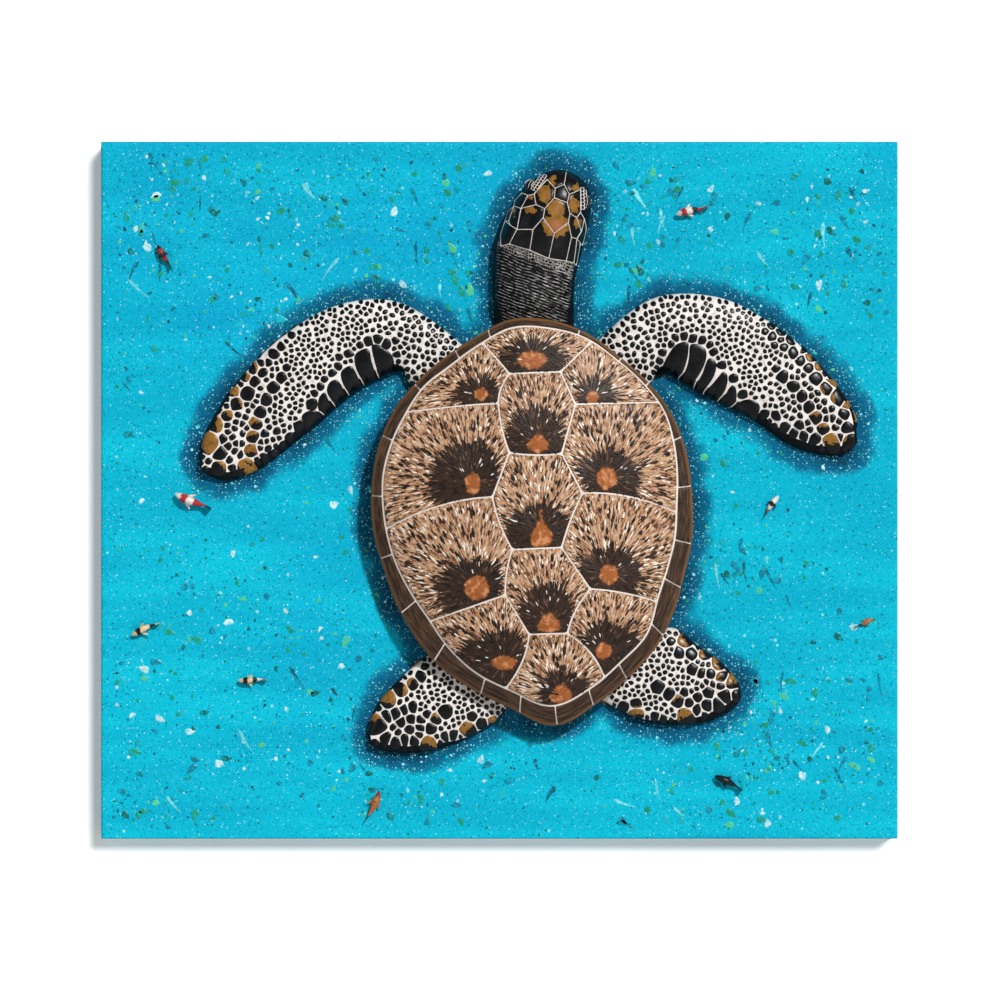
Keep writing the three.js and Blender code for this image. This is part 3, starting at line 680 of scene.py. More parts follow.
def closed_skin(rings, into=None):
    """A closed surface drawn through rings of equally many points, in panel millimetres."""
    around_count, along_count = len(rings[0]), len(rings) - 1
    mesh = into or bmesh.new()
    if not mesh.loops.layers.uv:
        mesh.loops.layers.uv.new("skin")
    grid = bmesh.ops.create_grid(mesh, x_segments=around_count, y_segments=along_count, size=0.5,
                                 calc_uvs=True)["verts"]
    for vert in grid:
        k = round((vert.co.x + 0.5) * around_count) % around_count
        ring = round((vert.co.y + 0.5) * along_count)
        vert.co = on_panel(*rings[ring][k])
    faces = {face for vert in grid for face in vert.link_faces}
    bmesh.ops.remove_doubles(mesh, verts=grid, dist=1e-7)
    faces = [face for face in faces if face.is_valid]
    bmesh.ops.recalc_face_normals(mesh, faces=faces)
    if enclosed(faces) < 0:
        bmesh.ops.reverse_faces(mesh, faces=faces)
    return mesh


def shell_ring(inset_by, height, share=1):
    return [(*from_middle(turn, (shell_radius(turn) - inset_by) * share), PANEL_DEPTH + height)
            for turn in DOME_TURNS]


def dome_ring(share):
    places = [from_middle(turn, seam_radius(turn) * share) for turn in DOME_TURNS]
    return [(*place, PANEL_DEPTH + shell_floor(place) + SEAM_PAINT) for place in places]


shell_rings = [shell_ring(0, UNDERSIDE, share) for share in (0, 0.5, 0.9)]
for inwards, height in (
    (1.2, UNDERSIDE), (0.4, UNDERSIDE + 0.3), (0, UNDERSIDE + 1), (0, RIM_TOP - 0.6), (0.5, RIM_TOP),
):
    shell_rings.append(shell_ring(RIM_OVERHANG + inwards, height))
shell_rings += [dome_ring(1 - (k / 30) ** 1.2) for k in range(31)]
shell = closed_skin(shell_rings)

# Brush marks and dust that every painted surface has.
brushed_film, given, end = new_group(
    "brushed_film", {"Vector": "Vector", "Marks": "Float"}, {"Height": "Float", "Tone": "Float"})
brush_marks = mottle(given["Vector"], given["Marks"], 4, 0.6)
patches = reckon("MULTIPLY", mottle(given["Vector"], 60, 3), 0.5)
feed(end, {"Height": brush_marks, "Tone": scaled(brush_marks, 0.5, patches)})


def finish_paint(coords, shader, base, marks=900, rough=(0.35, 0.25), relief=0.00005):
    """The last coat: tone varies a little, and the brush leaves a slight relief and sheen."""
    film = put(coords, "Group", {"Vector": coords, "Marks": marks}, node_tree=brushed_film).outputs
    feed(shader, {
        "Base Color": shaded(base, scaled(film["Tone"], 0.5, 0.75)),
        "Roughness": scaled(film["Height"], rough[1], rough[0]),
    })
    bumped(shader, film["Height"], relief, 0.8)


SEAM_WHITE, UNDER_DARK = paint(240, 230, 221), paint(40, 32, 27)
seam_paint, coords, shader = new_material("seam_paint", 0.2)
rim_face = -(PANEL_DEPTH + UNDERSIDE + 0.4) * MM
under = reckon("GREATER_THAN", parts_of(coords)["Y"], rim_face)
finish_paint(coords, shader, blended(under, SEAM_WHITE, UNDER_DARK))
shell_body = new_piece("shell_body", shell, seam_paint)
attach(shell_body, "root")
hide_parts("carapace")

# ---------------------------------------------------------------- scutes
# Thirteen big plates, cast with the shell and rounded at their edges. Each is painted outwards
# from its growth spot: an ochre spot, a dark jagged field round it, then tan streaks.

CORNERS = {name: Vector(place) for name, place in {
    "a1": (5, 59), "a2": (31, 60), "b1": (-0.5, 44), "b2": (38.5, 43.5), "c1": (5, 19),
    "c2": (31.5, 18.5), "d1": (-3.5, -3.5), "d2": (42, -1.5), "e1": (6.5, -30), "e2": (31.5, -29),
    "f1": (3, -53), "f2": (46, -50), "g1": (15, -73), "g2": (34.5, -72.5),
}.items()}
# How far the middle of a seam bows to the right and up. Seams that reach the rim name one corner.
SEAM_BOWS = {
    "a1 b1": (-1.5, 0), "b1 c1": (-1, 0), "d1 e1": (-1.3, 0), "e1 f1": (-1, 0), "c1 c2": (0, -1),
    "d2 e2": (-0.8, 0), "b1": (0, 0.5), "d1": (0, 3.6), "d2": (0, 3), "f2": (0, 1.2),
    "g1": (2.5, 0), "g2": (1.8, 1.8), "a1": (1.4, -1.4), "f2 g2": (-1.8, 0),
}
# Each scute: where it meets the rim, the corners after that, its growth spot, how far the dark
# field reaches to the left, the right and up, the spot's width and height, and how it narrows.
SCUTES = [
    ((69.7, 106.5), "a1 a2", (16.6, 65.9), (17, 17, 10), (14, 9), 0),
    ((106.5, 142.9), "b1 a1", (-9.4, 48.6), (13, 10, 9), (6, 6), 0),
    ((142.9, 188.9), "d1 c1 b1", (-13.5, 3.2), (22.5, 14, 22), (7.5, 10), 0),
    ((188.9, 228.8), "f1 e1 d1", (-11.5, -49.4), (21, 14, 15), (12, 12), 0),
    ((228.8, 262.2), "g1 f1", (2.3, -87.6), (25, 13, 16), (12, 7.5), 0),
    ((262.2, 293.3), "g2 g1", (31.4, -103.4), (11, 15, 12), (12, 10), 0.35),
    ((293.3, 322.8), "f2 g2", (52.8, -81.5), (13, 19, 15), (8, 8), 0),
    ((322.8, 357.6), "d2 e2 f2", (55.3, -42.7), (15, 16, 14), (9, 10), 0),
    ((357.6, 399.1), "b2 c2 d2", (54.3, 6.2), (13, 17, 14), (10, 11), 0),
    ((39.1, 69.7), "a2 b2", (47.2, 47), (8, 12, 9), (6, 6), 0),
    (None, "b1 c1 c2 b2 a2 a1", (19.6, 24.1), (17, 14, 18), (13.5, 9.5), 0.75),
    (None, "d1 e1 e2 d2 c2 c1", (21.2, -21.3), (18, 16, 14), (13.5, 15), 0.8),
    (None, "f1 g1 g2 f2 e2 e1", (25.2, -67.2), (16, 13, 20), (12, 10), 0.4),
]
SEAM_HALF = 0.4
SCUTE_RAISE = 0.8
OUTLINE_STEP = 1.1
RIM_ARC_STEP = 0.75  # degrees
FIELD_BELOW = 18  # the dark field runs out at the seam on this side


def bowed(start, finish, bow=(0, 0)):
    """Points along a bowed seam, without its last one."""
    count = max(2, round((finish - start).length / OUTLINE_STEP))
    for k in range(count):
        t = k / count
        yield start.lerp(finish, t) + Vector(bow) * 4 * t * (1 - t)


def on_seam(degrees):
    return from_middle(degrees, seam_radius(degrees))


def scute_outline(rim, names):
    """The scute's edge, counter-clockwise, on the middle line of the seams round it."""
    ends = [(CORNERS[name], name) for name in names.split()]
    outline = []
    if rim:
        steps = round((rim[1] - rim[0]) / RIM_ARC_STEP)
        outline = [on_seam(mix(*rim, k / steps)) for k in range(steps)]
        ends = [(on_seam(rim[1]), None)] + ends + [(on_seam(rim[0]), None)]
    else:
        ends.append(ends[0])
    for (start, first), (finish, second) in zip(ends, ends[1:]):
        key = " ".join(sorted(name for name in (first, second) if name))
        outline += bowed(start, finish, SEAM_BOWS.get(key, (0, 0)))
    return outline


def rounded(outline):
    """The same outline with its corners worn round."""
    following = outline[1:] + outline[:1]
    return [(outline[k - 1] + 2 * p + following[k]) / 4 for k, p in enumerate(outline)]


def left_of(way):
    """The way at a right angle to another, to its left."""
    return Vector((-way.y, way.x))


def drawn_in(outline, distance):
    """The outline moved inwards, square to itself."""
    following = outline[1:] + outline[:1]
    ways = [(following[k] - outline[k - 1]).normalized() for k in range(len(outline))]
    return [p + distance * left_of(way) for p, way in zip(outline, ways)]


def on_shell(place, lift):
    return (*place, PANEL_DEPTH + shell_floor(place) + lift)


def field_depth(offset, reach):
    """How far inside the dark field a point lies, given its offset from the growth spot."""
    sideways = reach[0] if offset.x < 0 else reach[1]
    upright = reach[2] if offset.y > 0 else FIELD_BELOW
    span = math.hypot(offset.x / sideways, offset.y / upright)
    return (1 - span) * (offset.length / span if span > 1e-6 else min(sideways, upright))


def spot_depth(offset, size, narrowing):
    """How far inside the ochre spot a point lies. A spot may narrow towards its top."""
    half_width, half_height = size[0] / 2, size[1] / 2
    half_width *= max(0.12, 1 - narrowing * (offset.y / half_height + 0.6) / 1.6)
    span = math.hypot(offset.x / half_width, offset.y / half_height)
    return (1 - span) * min(half_width, half_height)


def newly_made(mesh, made):
    """The vertices made since the last call, each with its place from the front and its height."""
    for vert in mesh.verts:
        if not vert[made]:
            vert[made] = 1
            x, y, z = off_panel(vert.co)
            yield vert, Vector((x, y)), z


# What the brush follows, kept on every point: the way out from the growth spot, and how far inside
# the dark field and inside the spot it lies, in millimetres.
SCUTE_EDGE = ((0, -0.9), (0, 0.15), (0.12, 0.45), (0.35, 0.68), (0.8, SCUTE_RAISE))  # inwards, lift
SCUTE_RINGS = 18
SCUTE_CROWN = 0.4  # how much higher a scute stands at its growth spot, as a share
scutes = bmesh.new()
made = scutes.verts.layers.int.new("made")
ray = scutes.verts.layers.float_vector.new("ray")
dark_field = scutes.verts.layers.float.new("dark_field")
ochre_spot = scutes.verts.layers.float.new("ochre_spot")
scute_outlines = []
for rim, names, spot, reach, size, narrowing in SCUTES:
    spot = Vector(spot)
    outline = rounded(drawn_in(rounded(scute_outline(rim, names)), SEAM_HALF))
    scute_outlines.append(outline)
    rings = [[on_shell(spot, SCUTE_EDGE[0][1])] * len(outline)]
    for inwards, lift in SCUTE_EDGE:
        edge = [p + (spot - p).normalized() * inwards for p in outline]
        rings.append([on_shell(p, lift) for p in edge])
    for k in range(1, SCUTE_RINGS + 1):
        share = k / SCUTE_RINGS
        rings.append([on_shell(p.lerp(spot, share), SCUTE_RAISE * (1 + SCUTE_CROWN * share)) for p in edge])
    closed_skin(rings, scutes)
    for vert, place, _ in newly_made(scutes, made):
        offset = place - spot
        away = offset.normalized() if offset.length > 1e-6 else Vector((0, 1))
        vert[ray] = (away.x, away.y, offset.length)
        vert[dark_field] = field_depth(offset, reach)
        vert[ochre_spot] = spot_depth(offset, size, narrowing)
scute_tops = BVHTree.FromBMesh(scutes)

TAN, TAN_PALE, TAN_RED = paint(190, 148, 112), paint(214, 184, 154), paint(172, 120, 88)
UMBER, UMBER_WARM = paint(44, 33, 27), paint(76, 56, 43)
OCHRE, OCHRE_DEEP, OCHRE_PALE = paint(182, 106, 58), paint(142, 82, 42), paint(208, 142, 96)


def streaked(ray, narrow, length):
    """Noise drawn out along the way that the scute grew."""
    return mottle(vectors("MULTIPLY", ray, (narrow, narrow, 1 / length)), 1, 3)


scute_paint, coords, shader = new_material("scute_paint", 0.15)
grown = from_mesh(coords, "ray", "Vector")
coarse, fine = streaked(grown, 9, 9), streaked(grown, 30, 4)
mottled = mottle(coords, 330, 4)
jagged = reckon("ADD", from_mesh(coords, "dark_field"), scaled(coarse, 16, -8))
ragged = reckon("ADD", from_mesh(coords, "ochre_spot"), scaled(mottled, 3, scaled(fine, 3, -3)))
dark = layered(UMBER, (fine, 0.4, 0.68, UMBER_WARM))
glow = layered(OCHRE_DEEP, (coarse, 0.3, 0.7, OCHRE), (mottled, 0.5, 0.66, OCHRE_PALE))
base = layered(
    TAN_RED, (coarse, 0.35, 0.65, TAN), (fine, 0.52, 0.62, TAN_PALE), (fine, 0.47, 0.4, UMBER_WARM),
    (coarse, 0.4, 0.34, UMBER_WARM), (jagged, -0.6, 0.6, dark), (ragged, -0.5, 0.5, glow),
)
finish_paint(coords, shader, base, marks=1100, rough=(0.3, 0.25), relief=0.00006)
scutes = new_piece("scutes", scutes, scute_paint)
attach(scutes, "root")

# ---------------------------------------------------------------- rim plates
# Twenty-one narrow plates wrap over the shell's edge, brown along their length, with a worn,
# lighter bevel outside. The white of the seams shows between them.

RIM_DIVIDERS = [
    74.5, 103.5, 115.8, 133.6, 154.6, 176.3, 199.2, 219.5, 238, 255.1, 267,
    276.9, 287.5, 299.1, 315.7, 331.5, 346.8, 367.2, 384.7, 406.3, 418.6, 434.5,
]
RIM_STEP = 1.4  # degrees
RIM_RAISE, RIM_CROWN = 0.75, 0.25
RIM_NARROWEST = 1.7
RIM_DROP = 0.3  # how far a plate's ends are rounded down
# The plate's section: how far in (a share of its width, and millimetres), and how high.
RIM_SECTION = [
    (0.5, 0, SEAM_TOP - 3), (0, 0.3, UNDERSIDE + 0.9), (0, 0, UNDERSIDE + 1.3), (0, 0, RIM_TOP - 0.9),
    (0, 0.18, RIM_TOP - 0.3), (0, 0.6, RIM_TOP + 0.25), (0, 1.2, None), (0.35, 0.6, None),
    (0.7, 0.3, None), (1, -0.9, None), (1, -0.35, SEAM_TOP + 0.5), (1, -0.1, SEAM_TOP + 0.1),
    (1, 0, SEAM_TOP - 0.9),
]


def rim_ring(degrees, drop):
    """The plate's section at an angle, lowered by a share of the drop at its ends."""
    width = max(around(RIM_WIDTHS, degrees) - SEAM_HALF, RIM_NARROWEST)
    ring = []
    for share, inwards, height in RIM_SECTION:
        place = from_middle(degrees, shell_radius(degrees) - share * width - inwards)
        if height is None:
            height = shell_floor(place) + RIM_RAISE + RIM_CROWN * math.sin(math.pi * share)
        ring.append(Vector((*place, PANEL_DEPTH + height - RIM_DROP * drop)))
    return ring


def gathered(ring):
    """The ring drawn together in its middle."""
    middle = sum((Vector(point) for point in ring), Vector()) / len(ring)
    return [tuple(middle)] * len(ring)


rim = bmesh.new()
made = rim.verts.layers.int.new("made")
along_rim = rim.verts.layers.float_vector.new("along_rim")
for number, (low, high) in enumerate(zip(RIM_DIVIDERS, RIM_DIVIDERS[1:])):
    margin = math.degrees(SEAM_HALF / shell_radius((low + high) / 2))
    steps = max(4, round((high - low - 2 * margin) / RIM_STEP))
    stations = [(low + margin, 0), (low + margin, 1), (low + margin * 1.35, 0.5)]
    stations += [(mix(low + 2 * margin, high - 2 * margin, k / steps), 0) for k in range(steps + 1)]
    stations += [(high - margin * 1.35, 0.5), (high - margin, 1), (high - margin, 0)]
    first, *rings, last = [rim_ring(*station) for station in stations]
    closed_skin([gathered(first), *rings, gathered(last)], rim)
    for vert, place, _ in newly_made(rim, made):
        degrees, reach = angle_and_reach(place)
        vert[along_rim] = (math.radians(degrees) * 90, shell_radius(degrees) - reach, number)

RIM_BROWN, RIM_DARK, RIM_LIGHT = paint(80, 59, 44), paint(44, 33, 26), paint(112, 84, 60)
BEVEL_BROWN = paint(122, 84, 52)
rim_paint, coords, shader = new_material("rim_paint", 0.15)
run = from_mesh(coords, "along_rim", "Vector")
streaks = mottle(vectors("MULTIPLY", run, (0.11, 1.1, 3.7)), 1, 4)
outer_edge = reckon("ADD", parts_of(run)["Y"], scaled(streaks, 2.4, -1.2))
base = layered(RIM_DARK, (streaks, 0.36, 0.62, RIM_BROWN), (streaks, 0.6, 0.72, RIM_LIGHT),
               (outer_edge, 1.7, 0.9, BEVEL_BROWN))
finish_paint(coords, shader, base, marks=700)
rim = new_piece("rim_plates", rim, rim_paint)
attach(rim, "root")

# ---------------------------------------------------------------- brush strokes
# Short loaded dabs of acrylic, laid outwards from every growth spot: cream, tan and dark brown
# over the scute, only dark ones in its field, and a few white flecks there.

STROKE_SIDES = 6
STROKE_LIFT, STROKE_ROOT = 0.075, 0.12
STROKE_SPACING, STROKE_TRIES = 1.5, 9000
SHORTEST_STROKE = 1.2
EDGE_MARGIN, SPOT_MARGIN = 0.4, 0.9  # kept clear of strokes
SEAM_BAND = 9  # the streaks are finest and most broken this near to a seam
FINGERS, FRAYING = 5.5, 2.2  # how far the dark field's fingers and its odd strokes reach out
SCUTE_FLECKS = 6
ABOVE_ALL = 80  # higher than any part, where a line straight down on the panel starts
CREAM, PALE_TAN, WARM_TAN = paint(248, 234, 218), paint(208, 168, 132), paint(186, 132, 98)
DARK_BROWN, BLACK_BROWN, SOFT_BROWN = paint(52, 38, 31), paint(30, 24, 21), paint(98, 72, 56)
FLECK_WHITE = paint(244, 240, 232)
# Colours by lot: a lot from 0 to 1 falls to the first limit above it. The last value is how much
# prouder than the others such a dab stands.
FIELD_LOTS = ((0.6, DARK_BROWN, 0.05), (0.88, BLACK_BROWN, 0.05), (1, SOFT_BROWN, 0.05))
SEAM_LOTS = ((0.16, BLACK_BROWN, 0.06), (0.38, DARK_BROWN, 0.06), (0.64, CREAM, 0.06), (1, PALE_TAN, 0))
BOLD_SHARE = 0.14  # of the open lots: broad dark dabs
OPEN_LOTS = ((0.1, DARK_BROWN, 0.11), (BOLD_SHARE, BLACK_BROWN, 0.11), (0.27, CREAM, 0.07),
             (0.35, SOFT_BROWN, 0), (0.72, PALE_TAN, 0), (1, WARM_TAN, 0))


def array_of(points):
    return numpy.array([tuple(point) for point in points])


def distances(points, place):
    """How far each point of an array is from a place."""
    return numpy.hypot(points[:, 0] - place.x, points[:, 1] - place.y)


def inside(place, edge):
    """Whether a place is inside an outline, given as an array."""
    before = numpy.roll(edge, 1, axis=0)
    crossing = (edge[:, 1] > place.y) != (before[:, 1] > place.y)
    climb = before[:, 1] - edge[:, 1]
    climb[climb == 0] = 1e-9
    reach = (before[:, 0] - edge[:, 0]) * (place.y - edge[:, 1]) / climb + edge[:, 0]
    return numpy.count_nonzero(crossing & (place.x < reach)) % 2 == 1


def spread_out(edge):
    """Random places inside an outline, none closer together than the strokes' spacing."""
    (low_x, low_y), (high_x, high_y) = edge.min(0), edge.max(0)
    kept = {}
    for _ in range(STROKE_TRIES):
        place = Vector((random.uniform(low_x, high_x), random.uniform(low_y, high_y)))
        cell = (math.floor(place.x / STROKE_SPACING), math.floor(place.y / STROKE_SPACING))
        near = [kept.get((cell[0] + i, cell[1] + j)) for i in (-1, 0, 1) for j in (-1, 0, 1)]
        if any(other and (other - place).length < STROKE_SPACING * 0.8 for other in near):
            continue
        if inside(place, edge):
            kept[cell] = place
    return list(kept.values())


def stroke_shape():
    """One dab on its own, a unit long and a unit wide: a flat foot and a low ridge."""
    mesh = bmesh.new()
    bmesh.ops.create_cone(mesh, cap_ends=True, segments=STROKE_SIDES, radius1=0.5, radius2=0, depth=1)
    for vert in mesh.verts:
        vert.co.z += 0.5
        if vert.co.z > 0.5:
            vert.co.x = 0.1
    return mesh


def scattered(name, shape, placings, material):
    """Copies of one small shape joined in a mesh. Each has a middle, three axes and a colour."""
    points = array_of(vert.co for vert in shape.verts)
    faces = [[vert.index for vert in face.verts] for face in shape.faces]
    shape.free()
    every_point, every_face = [], []
    for middle, axes, _ in placings:
        start_at = len(every_point) * len(points)
        every_point.append(points @ array_of(axes) + numpy.array(tuple(middle)))
        every_face += [[start_at + k for k in face] for face in faces]
    data = bpy.data.meshes.new(name)
    data.from_pydata(numpy.concatenate(every_point).tolist(), [], every_face)
    colours = numpy.repeat(numpy.array([tint for *_, tint in placings]), len(points), axis=0)
    tint = data.color_attributes.new("tint", "FLOAT_COLOR", "POINT")
    tint.data.foreach_set("color", colours.astype(numpy.float32).ravel())
    # Each copy has a small patch of its own to be baked on, laid out as the copies lie.
    patch = (points[:, :2] - points[:, :2].min(0)) / numpy.ptp(points[:, :2], axis=0).max() * 0.003
    roots = numpy.array([(m.x, m.z) for m, *_ in placings])
    spread = (roots - roots.min(0)) / numpy.ptp(roots, axis=0).max() * 0.99
    corners = (spread[:, None, :] + patch[None, :, :]).reshape(-1, 2)
    unwrap = data.uv_layers.new(name="OFBake")
    loops = numpy.empty(len(data.loops), dtype=numpy.int32)
    data.loops.foreach_get("vertex_index", loops)
    unwrap.data.foreach_set("uv", corners[loops].astype(numpy.float32).ravel())
    data.materials.append(material)
    piece = place_object(name, data)
    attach(piece, "root")
    return piece


def straight_on(tops, place):
    """Where a line from the front meets a surface at a place, and the way out of it there."""
    return tops.ray_cast(on_panel(*place, ABOVE_ALL), Vector((0, 1, 0)))[:2]


def varied(tint):
    share = 1 + random.uniform(-0.14, 0.14)
    return tuple(min(channel * share, 1) for channel in tint[:3]) + (1,)


def lay_stroke(within, place, direction, length, width, tint, proud=0.0):
    """Lays a dab on a scute, shortened where it would cross the edge."""
    while length > SHORTEST_STROKE and not all(
            inside(place + direction * length * end * 0.5, within) for end in (-1, 1)):
        length *= 0.75
    hit, normal = straight_on(scute_tops, place)
    if hit:
        along = Vector((direction.x, 0, direction.y))
        along = (along - normal * along.dot(normal)).normalized()
        height = STROKE_LIFT + proud + STROKE_ROOT
        axes = (along * length * MM, normal.cross(along) * width * MM, normal * height * MM)
        strokes.append((hit - normal * STROKE_ROOT * MM, axes, varied(tint)))


random.seed(4)
strokes = []
for (_, names, spot, reach, size, narrowing), outline in zip(SCUTES, scute_outlines):
    spot = Vector(spot)
    within, edge = array_of(drawn_in(outline, EDGE_MARGIN)), array_of(outline)
    for place in spread_out(within):
        offset = place - spot
        fingers = FINGERS * noise.noise(Vector((*(offset.normalized() * 7), spot.x)))
        depth = field_depth(offset, reach) + fingers + random.uniform(-FRAYING, FRAYING)
        if spot_depth(offset, size, narrowing) > -SPOT_MARGIN:
            continue
        direction = turned(*offset, random.gauss(0, 0.08)).normalized()
        by_seam = distances(edge, place).min() < random.uniform(0, SEAM_BAND)
        length, width = random.uniform(2.8, 7.4), random.uniform(0.7, 1.8)
        lot = random.random()
        lots = FIELD_LOTS if depth > 0 else SEAM_LOTS if by_seam else OPEN_LOTS
        tint, proud = next((tint, proud) for limit, tint, proud in lots if lot < limit)
        if depth > 0:
            length, width = length * (1.8 if depth < 3 else 1.2), width * 1.4
        elif by_seam:
            length *= 1.15
        elif lot < BOLD_SHARE:
            length, width = random.uniform(4.5, 8.5), random.uniform(1.6, 3.2)
        else:
            width *= 1.15
        lay_stroke(within, place, direction, length, width, tint, proud)
    for _ in range(SCUTE_FLECKS):
        direction = turned(1, 0, random.uniform(0, math.pi))
        place = spot + direction * (size[1] / 2 + random.uniform(1.5, 12))
        if inside(place, within):
            length, width = random.uniform(2.6, 4.6), random.uniform(0.8, 1.2)
            lay_stroke(within, place, direction, length, width, FLECK_WHITE, 0.17)

dabbed_paint, coords, shader = new_material("dabbed_paint", 0.2)
tint = from_mesh(coords, "tint", "Color")
finish_paint(coords, shader, tint, marks=1500, rough=(0.32, 0.2), relief=0.00003)
strokes = scattered("brush_strokes", stroke_shape(), strokes, dabbed_paint)

# ---------------------------------------------------------------- body and flippers
# The body under the shell and the four flippers are cast in one and glued to the canvas. Their
# tops are painted off-white, and their sides and tips black.

FLIPPER_CROWN, TIP_CROWN = 8.2, 5.4
FOOT = -0.05  # pressed this far into the canvas paint
TORSO_INSET = 12
FLIPPERS = {
    "front_left": (
        [(-6, 60), (-24, 78.5), (-52, 96), (-82, 94.5), (-110, 79), (-134, 55), (-150, 29), (-153, 12)],
        [(-30, 38), (-46, 54), (-52, 60.5), (-74, 50), (-95, 32), (-119, 13), (-137, 5), (-149, 7.5)],
    ),
    "front_right": (
        [(40, 62), (53, 79), (79, 98), (111, 98.5), (138, 85.5), (161, 66.5), (179, 43), (182.5, 25)],
        [(62, 34), (77, 54), (84, 60), (104, 48.5), (126, 38), (149, 22.5), (171, 17.5), (180.5, 21.5)],
    ),
    "rear_left": (
        [(-16, -70), (-36, -84), (-48, -93.5), (-60.5, -106.5), (-66.5, -119), (-66.5, -128)],
        [(14, -98), (0, -116), (-18.5, -127.5), (-39, -133.5), (-56, -133.5), (-64, -131)],
    ),
    "rear_right": (
        [(66, -78), (87, -70), (101, -79), (114.5, -89), (122, -99), (123, -106)],
        [(42, -96), (54, -108.5), (75, -118), (99, -119.5), (114, -114.5), (121, -109.5)],
    ),
}
FLIPPER_STATIONS, FLIPPER_AROUND = 110, 44
ROUNDNESS = 3.0  # of a flipper's section: 2 is an ellipse, and more is squarer
# How wide the black side is near the shell and near the tip, and where it widens, as parts of the
# way out: along the trailing edge, then along the leading edge.
BLACK_SIDES = {
    "front": ((0.6, 4.4, 0.2, 0.32), (-0.2, 1.5, 0.5, 0.72)),
    "rear": ((0.8, 3.8, 0.35, 0.6), (-0.2, 1.2, 0.75, 0.95)),
}
ALL_BLACK = 5  # millimetres inside the black
EDGE_SAMPLES = 160


def eased(first, last, start, finish, t):
    """Goes smoothly from the first value to the last one, as t goes from start to finish."""
    t = min(max((t - start) / (finish - start), 0), 1)
    return mix(first, last, t * t * (3 - 2 * t))


def along_line(points, t):
    """A smooth line through the points, at a part t of the way along."""
    place = min(max(t, 0), 1) * (len(points) - 1)
    k = min(math.floor(place), len(points) - 2)
    near = [Vector(points[min(max(k + step, 0), len(points) - 1)]) for step in (-1, 0, 1, 2)]
    return curve(*near, place - k)


def arch(steps, roundness):
    """Each turn over an arch, how far it is to the left, from 1 to -1, and how high, from 0 to 1."""
    for k in range(steps + 1):
        turn = math.pi * k / steps
        leftward = math.copysign(abs(math.cos(turn)) ** (2 / roundness), math.cos(turn))
        yield turn, leftward, math.sin(turn) ** (2 / roundness) if 0 < k < steps else 0


def ends_closed(rings):
    """The rings, with a single point added before the first and after the last."""
    return [gathered(rings[0])] + rings + [gathered(rings[-1])]


def flipper_rings(leading, trailing):
    rings = []
    for station in range(FLIPPER_STATIONS + 1):
        t = station / FLIPPER_STATIONS
        front, back = along_line(leading, t), along_line(trailing, t)
        top = eased(FLIPPER_CROWN, TIP_CROWN, 0.2, 1, t)
        ring = [(*front.lerp(back, (1 - forward) / 2), PANEL_DEPTH + (top * up or FOOT))
                for _, forward, up in arch(FLIPPER_AROUND, ROUNDNESS)]
        ring += [(*front.lerp(back, share), PANEL_DEPTH + FOOT) for share in (0.75, 0.5, 0.25)]
        rings.append(ring)
    return ends_closed(rings)


def cast_in(mesh, rings):
    """Casts a closed part in with others, and gives its own surface, to lay things on."""
    closed_skin(rings, mesh)
    alone = closed_skin(rings)
    surface = BVHTree.FromBMesh(alone)
    alone.free()
    return surface


def pair_of(name):
    """Whether a flipper is a front or a rear one, by its name."""
    return name.split("_")[0]


def side_widths(name, t):
    """How wide the black side is along the trailing edge, then along the leading edge."""
    return [eased(*widening, t) for widening in BLACK_SIDES[pair_of(name)]]


skin = bmesh.new()
made = skin.verts.layers.int.new("made")
black_side = skin.verts.layers.float.new("black_side")
neck_run = skin.verts.layers.float_vector.new("neck_run")
flipper_tops, edge_lines = {}, {}
for name, edges in FLIPPERS.items():
    flipper_tops[name] = cast_in(skin, flipper_rings(*edges))
    edge_lines[name] = [array_of(along_line(points, k / EDGE_SAMPLES) for k in range(EDGE_SAMPLES + 1))
                        for points in edges]
    for vert, place, _ in newly_made(skin, made):
        from_leading, from_trailing = [distances(line, place) for line in edge_lines[name]]
        trailing_width, leading_width = side_widths(name, int(from_trailing.argmin()) / EDGE_SAMPLES)
        vert[black_side] = max(trailing_width - from_trailing.min(), leading_width - from_leading.min())

torso_rings = [shell_ring(0, FOOT, 0)]
torso_rings += [shell_ring(TORSO_INSET, height) for height in (FOOT, 3, 6, 9, 11)]
torso_rings += [shell_ring(TORSO_INSET - 1.5, UNDERSIDE - 0.3), shell_ring(TORSO_INSET - 2, UNDERSIDE + 0.4)]
torso_rings.append(shell_ring(0, UNDERSIDE + 0.4, 0))
closed_skin(torso_rings, skin)
for vert, *_ in newly_made(skin, made):
    vert[black_side] = ALL_BLACK

# ---------------------------------------------------------------- neck and head
# The neck is black with fine white wrinkles drawn round it, and the head has black plates with
# brown patches, parted by white lines. Both are cast with the body.

# Sections from under the shell to the snout: left edge, right edge and height.
HEAD_SECTIONS = [
    ((-1, 66), (38, 66), 12.0), ((-2.6, 88), (38, 87), 12.0), ((-3, 94), (38, 93), 14.6),
    ((-3.5, 101), (38, 98), 16.5), ((-3.2, 113), (38.4, 105), 16.5), ((-2.8, 125.6), (39.6, 112.6), 16.8),
    ((-0.8, 129.5), (42, 121), 20), ((1.5, 135.5), (44.6, 131), 21.5), ((5, 143), (46.3, 140.5), 21.5),
    ((9.5, 150.7), (46.6, 148), 20.5), ((15.5, 157), (44.6, 155), 18), ((22.5, 161.5), (40, 160), 14),
    ((28.5, 163.2), (34, 162.8), 9),
]
HEAD_STATIONS, HEAD_AROUND = 120, 56
HEAD_ROUNDNESS = 2.5
HEAD_BEGINS = 5  # which section is the back of the head
NECK_END = HEAD_BEGINS / (len(HEAD_SECTIONS) - 1)  # the same, as a part of the way
FOLD_SWELL = 0.011  # how much the neck swells between its folds, as a share

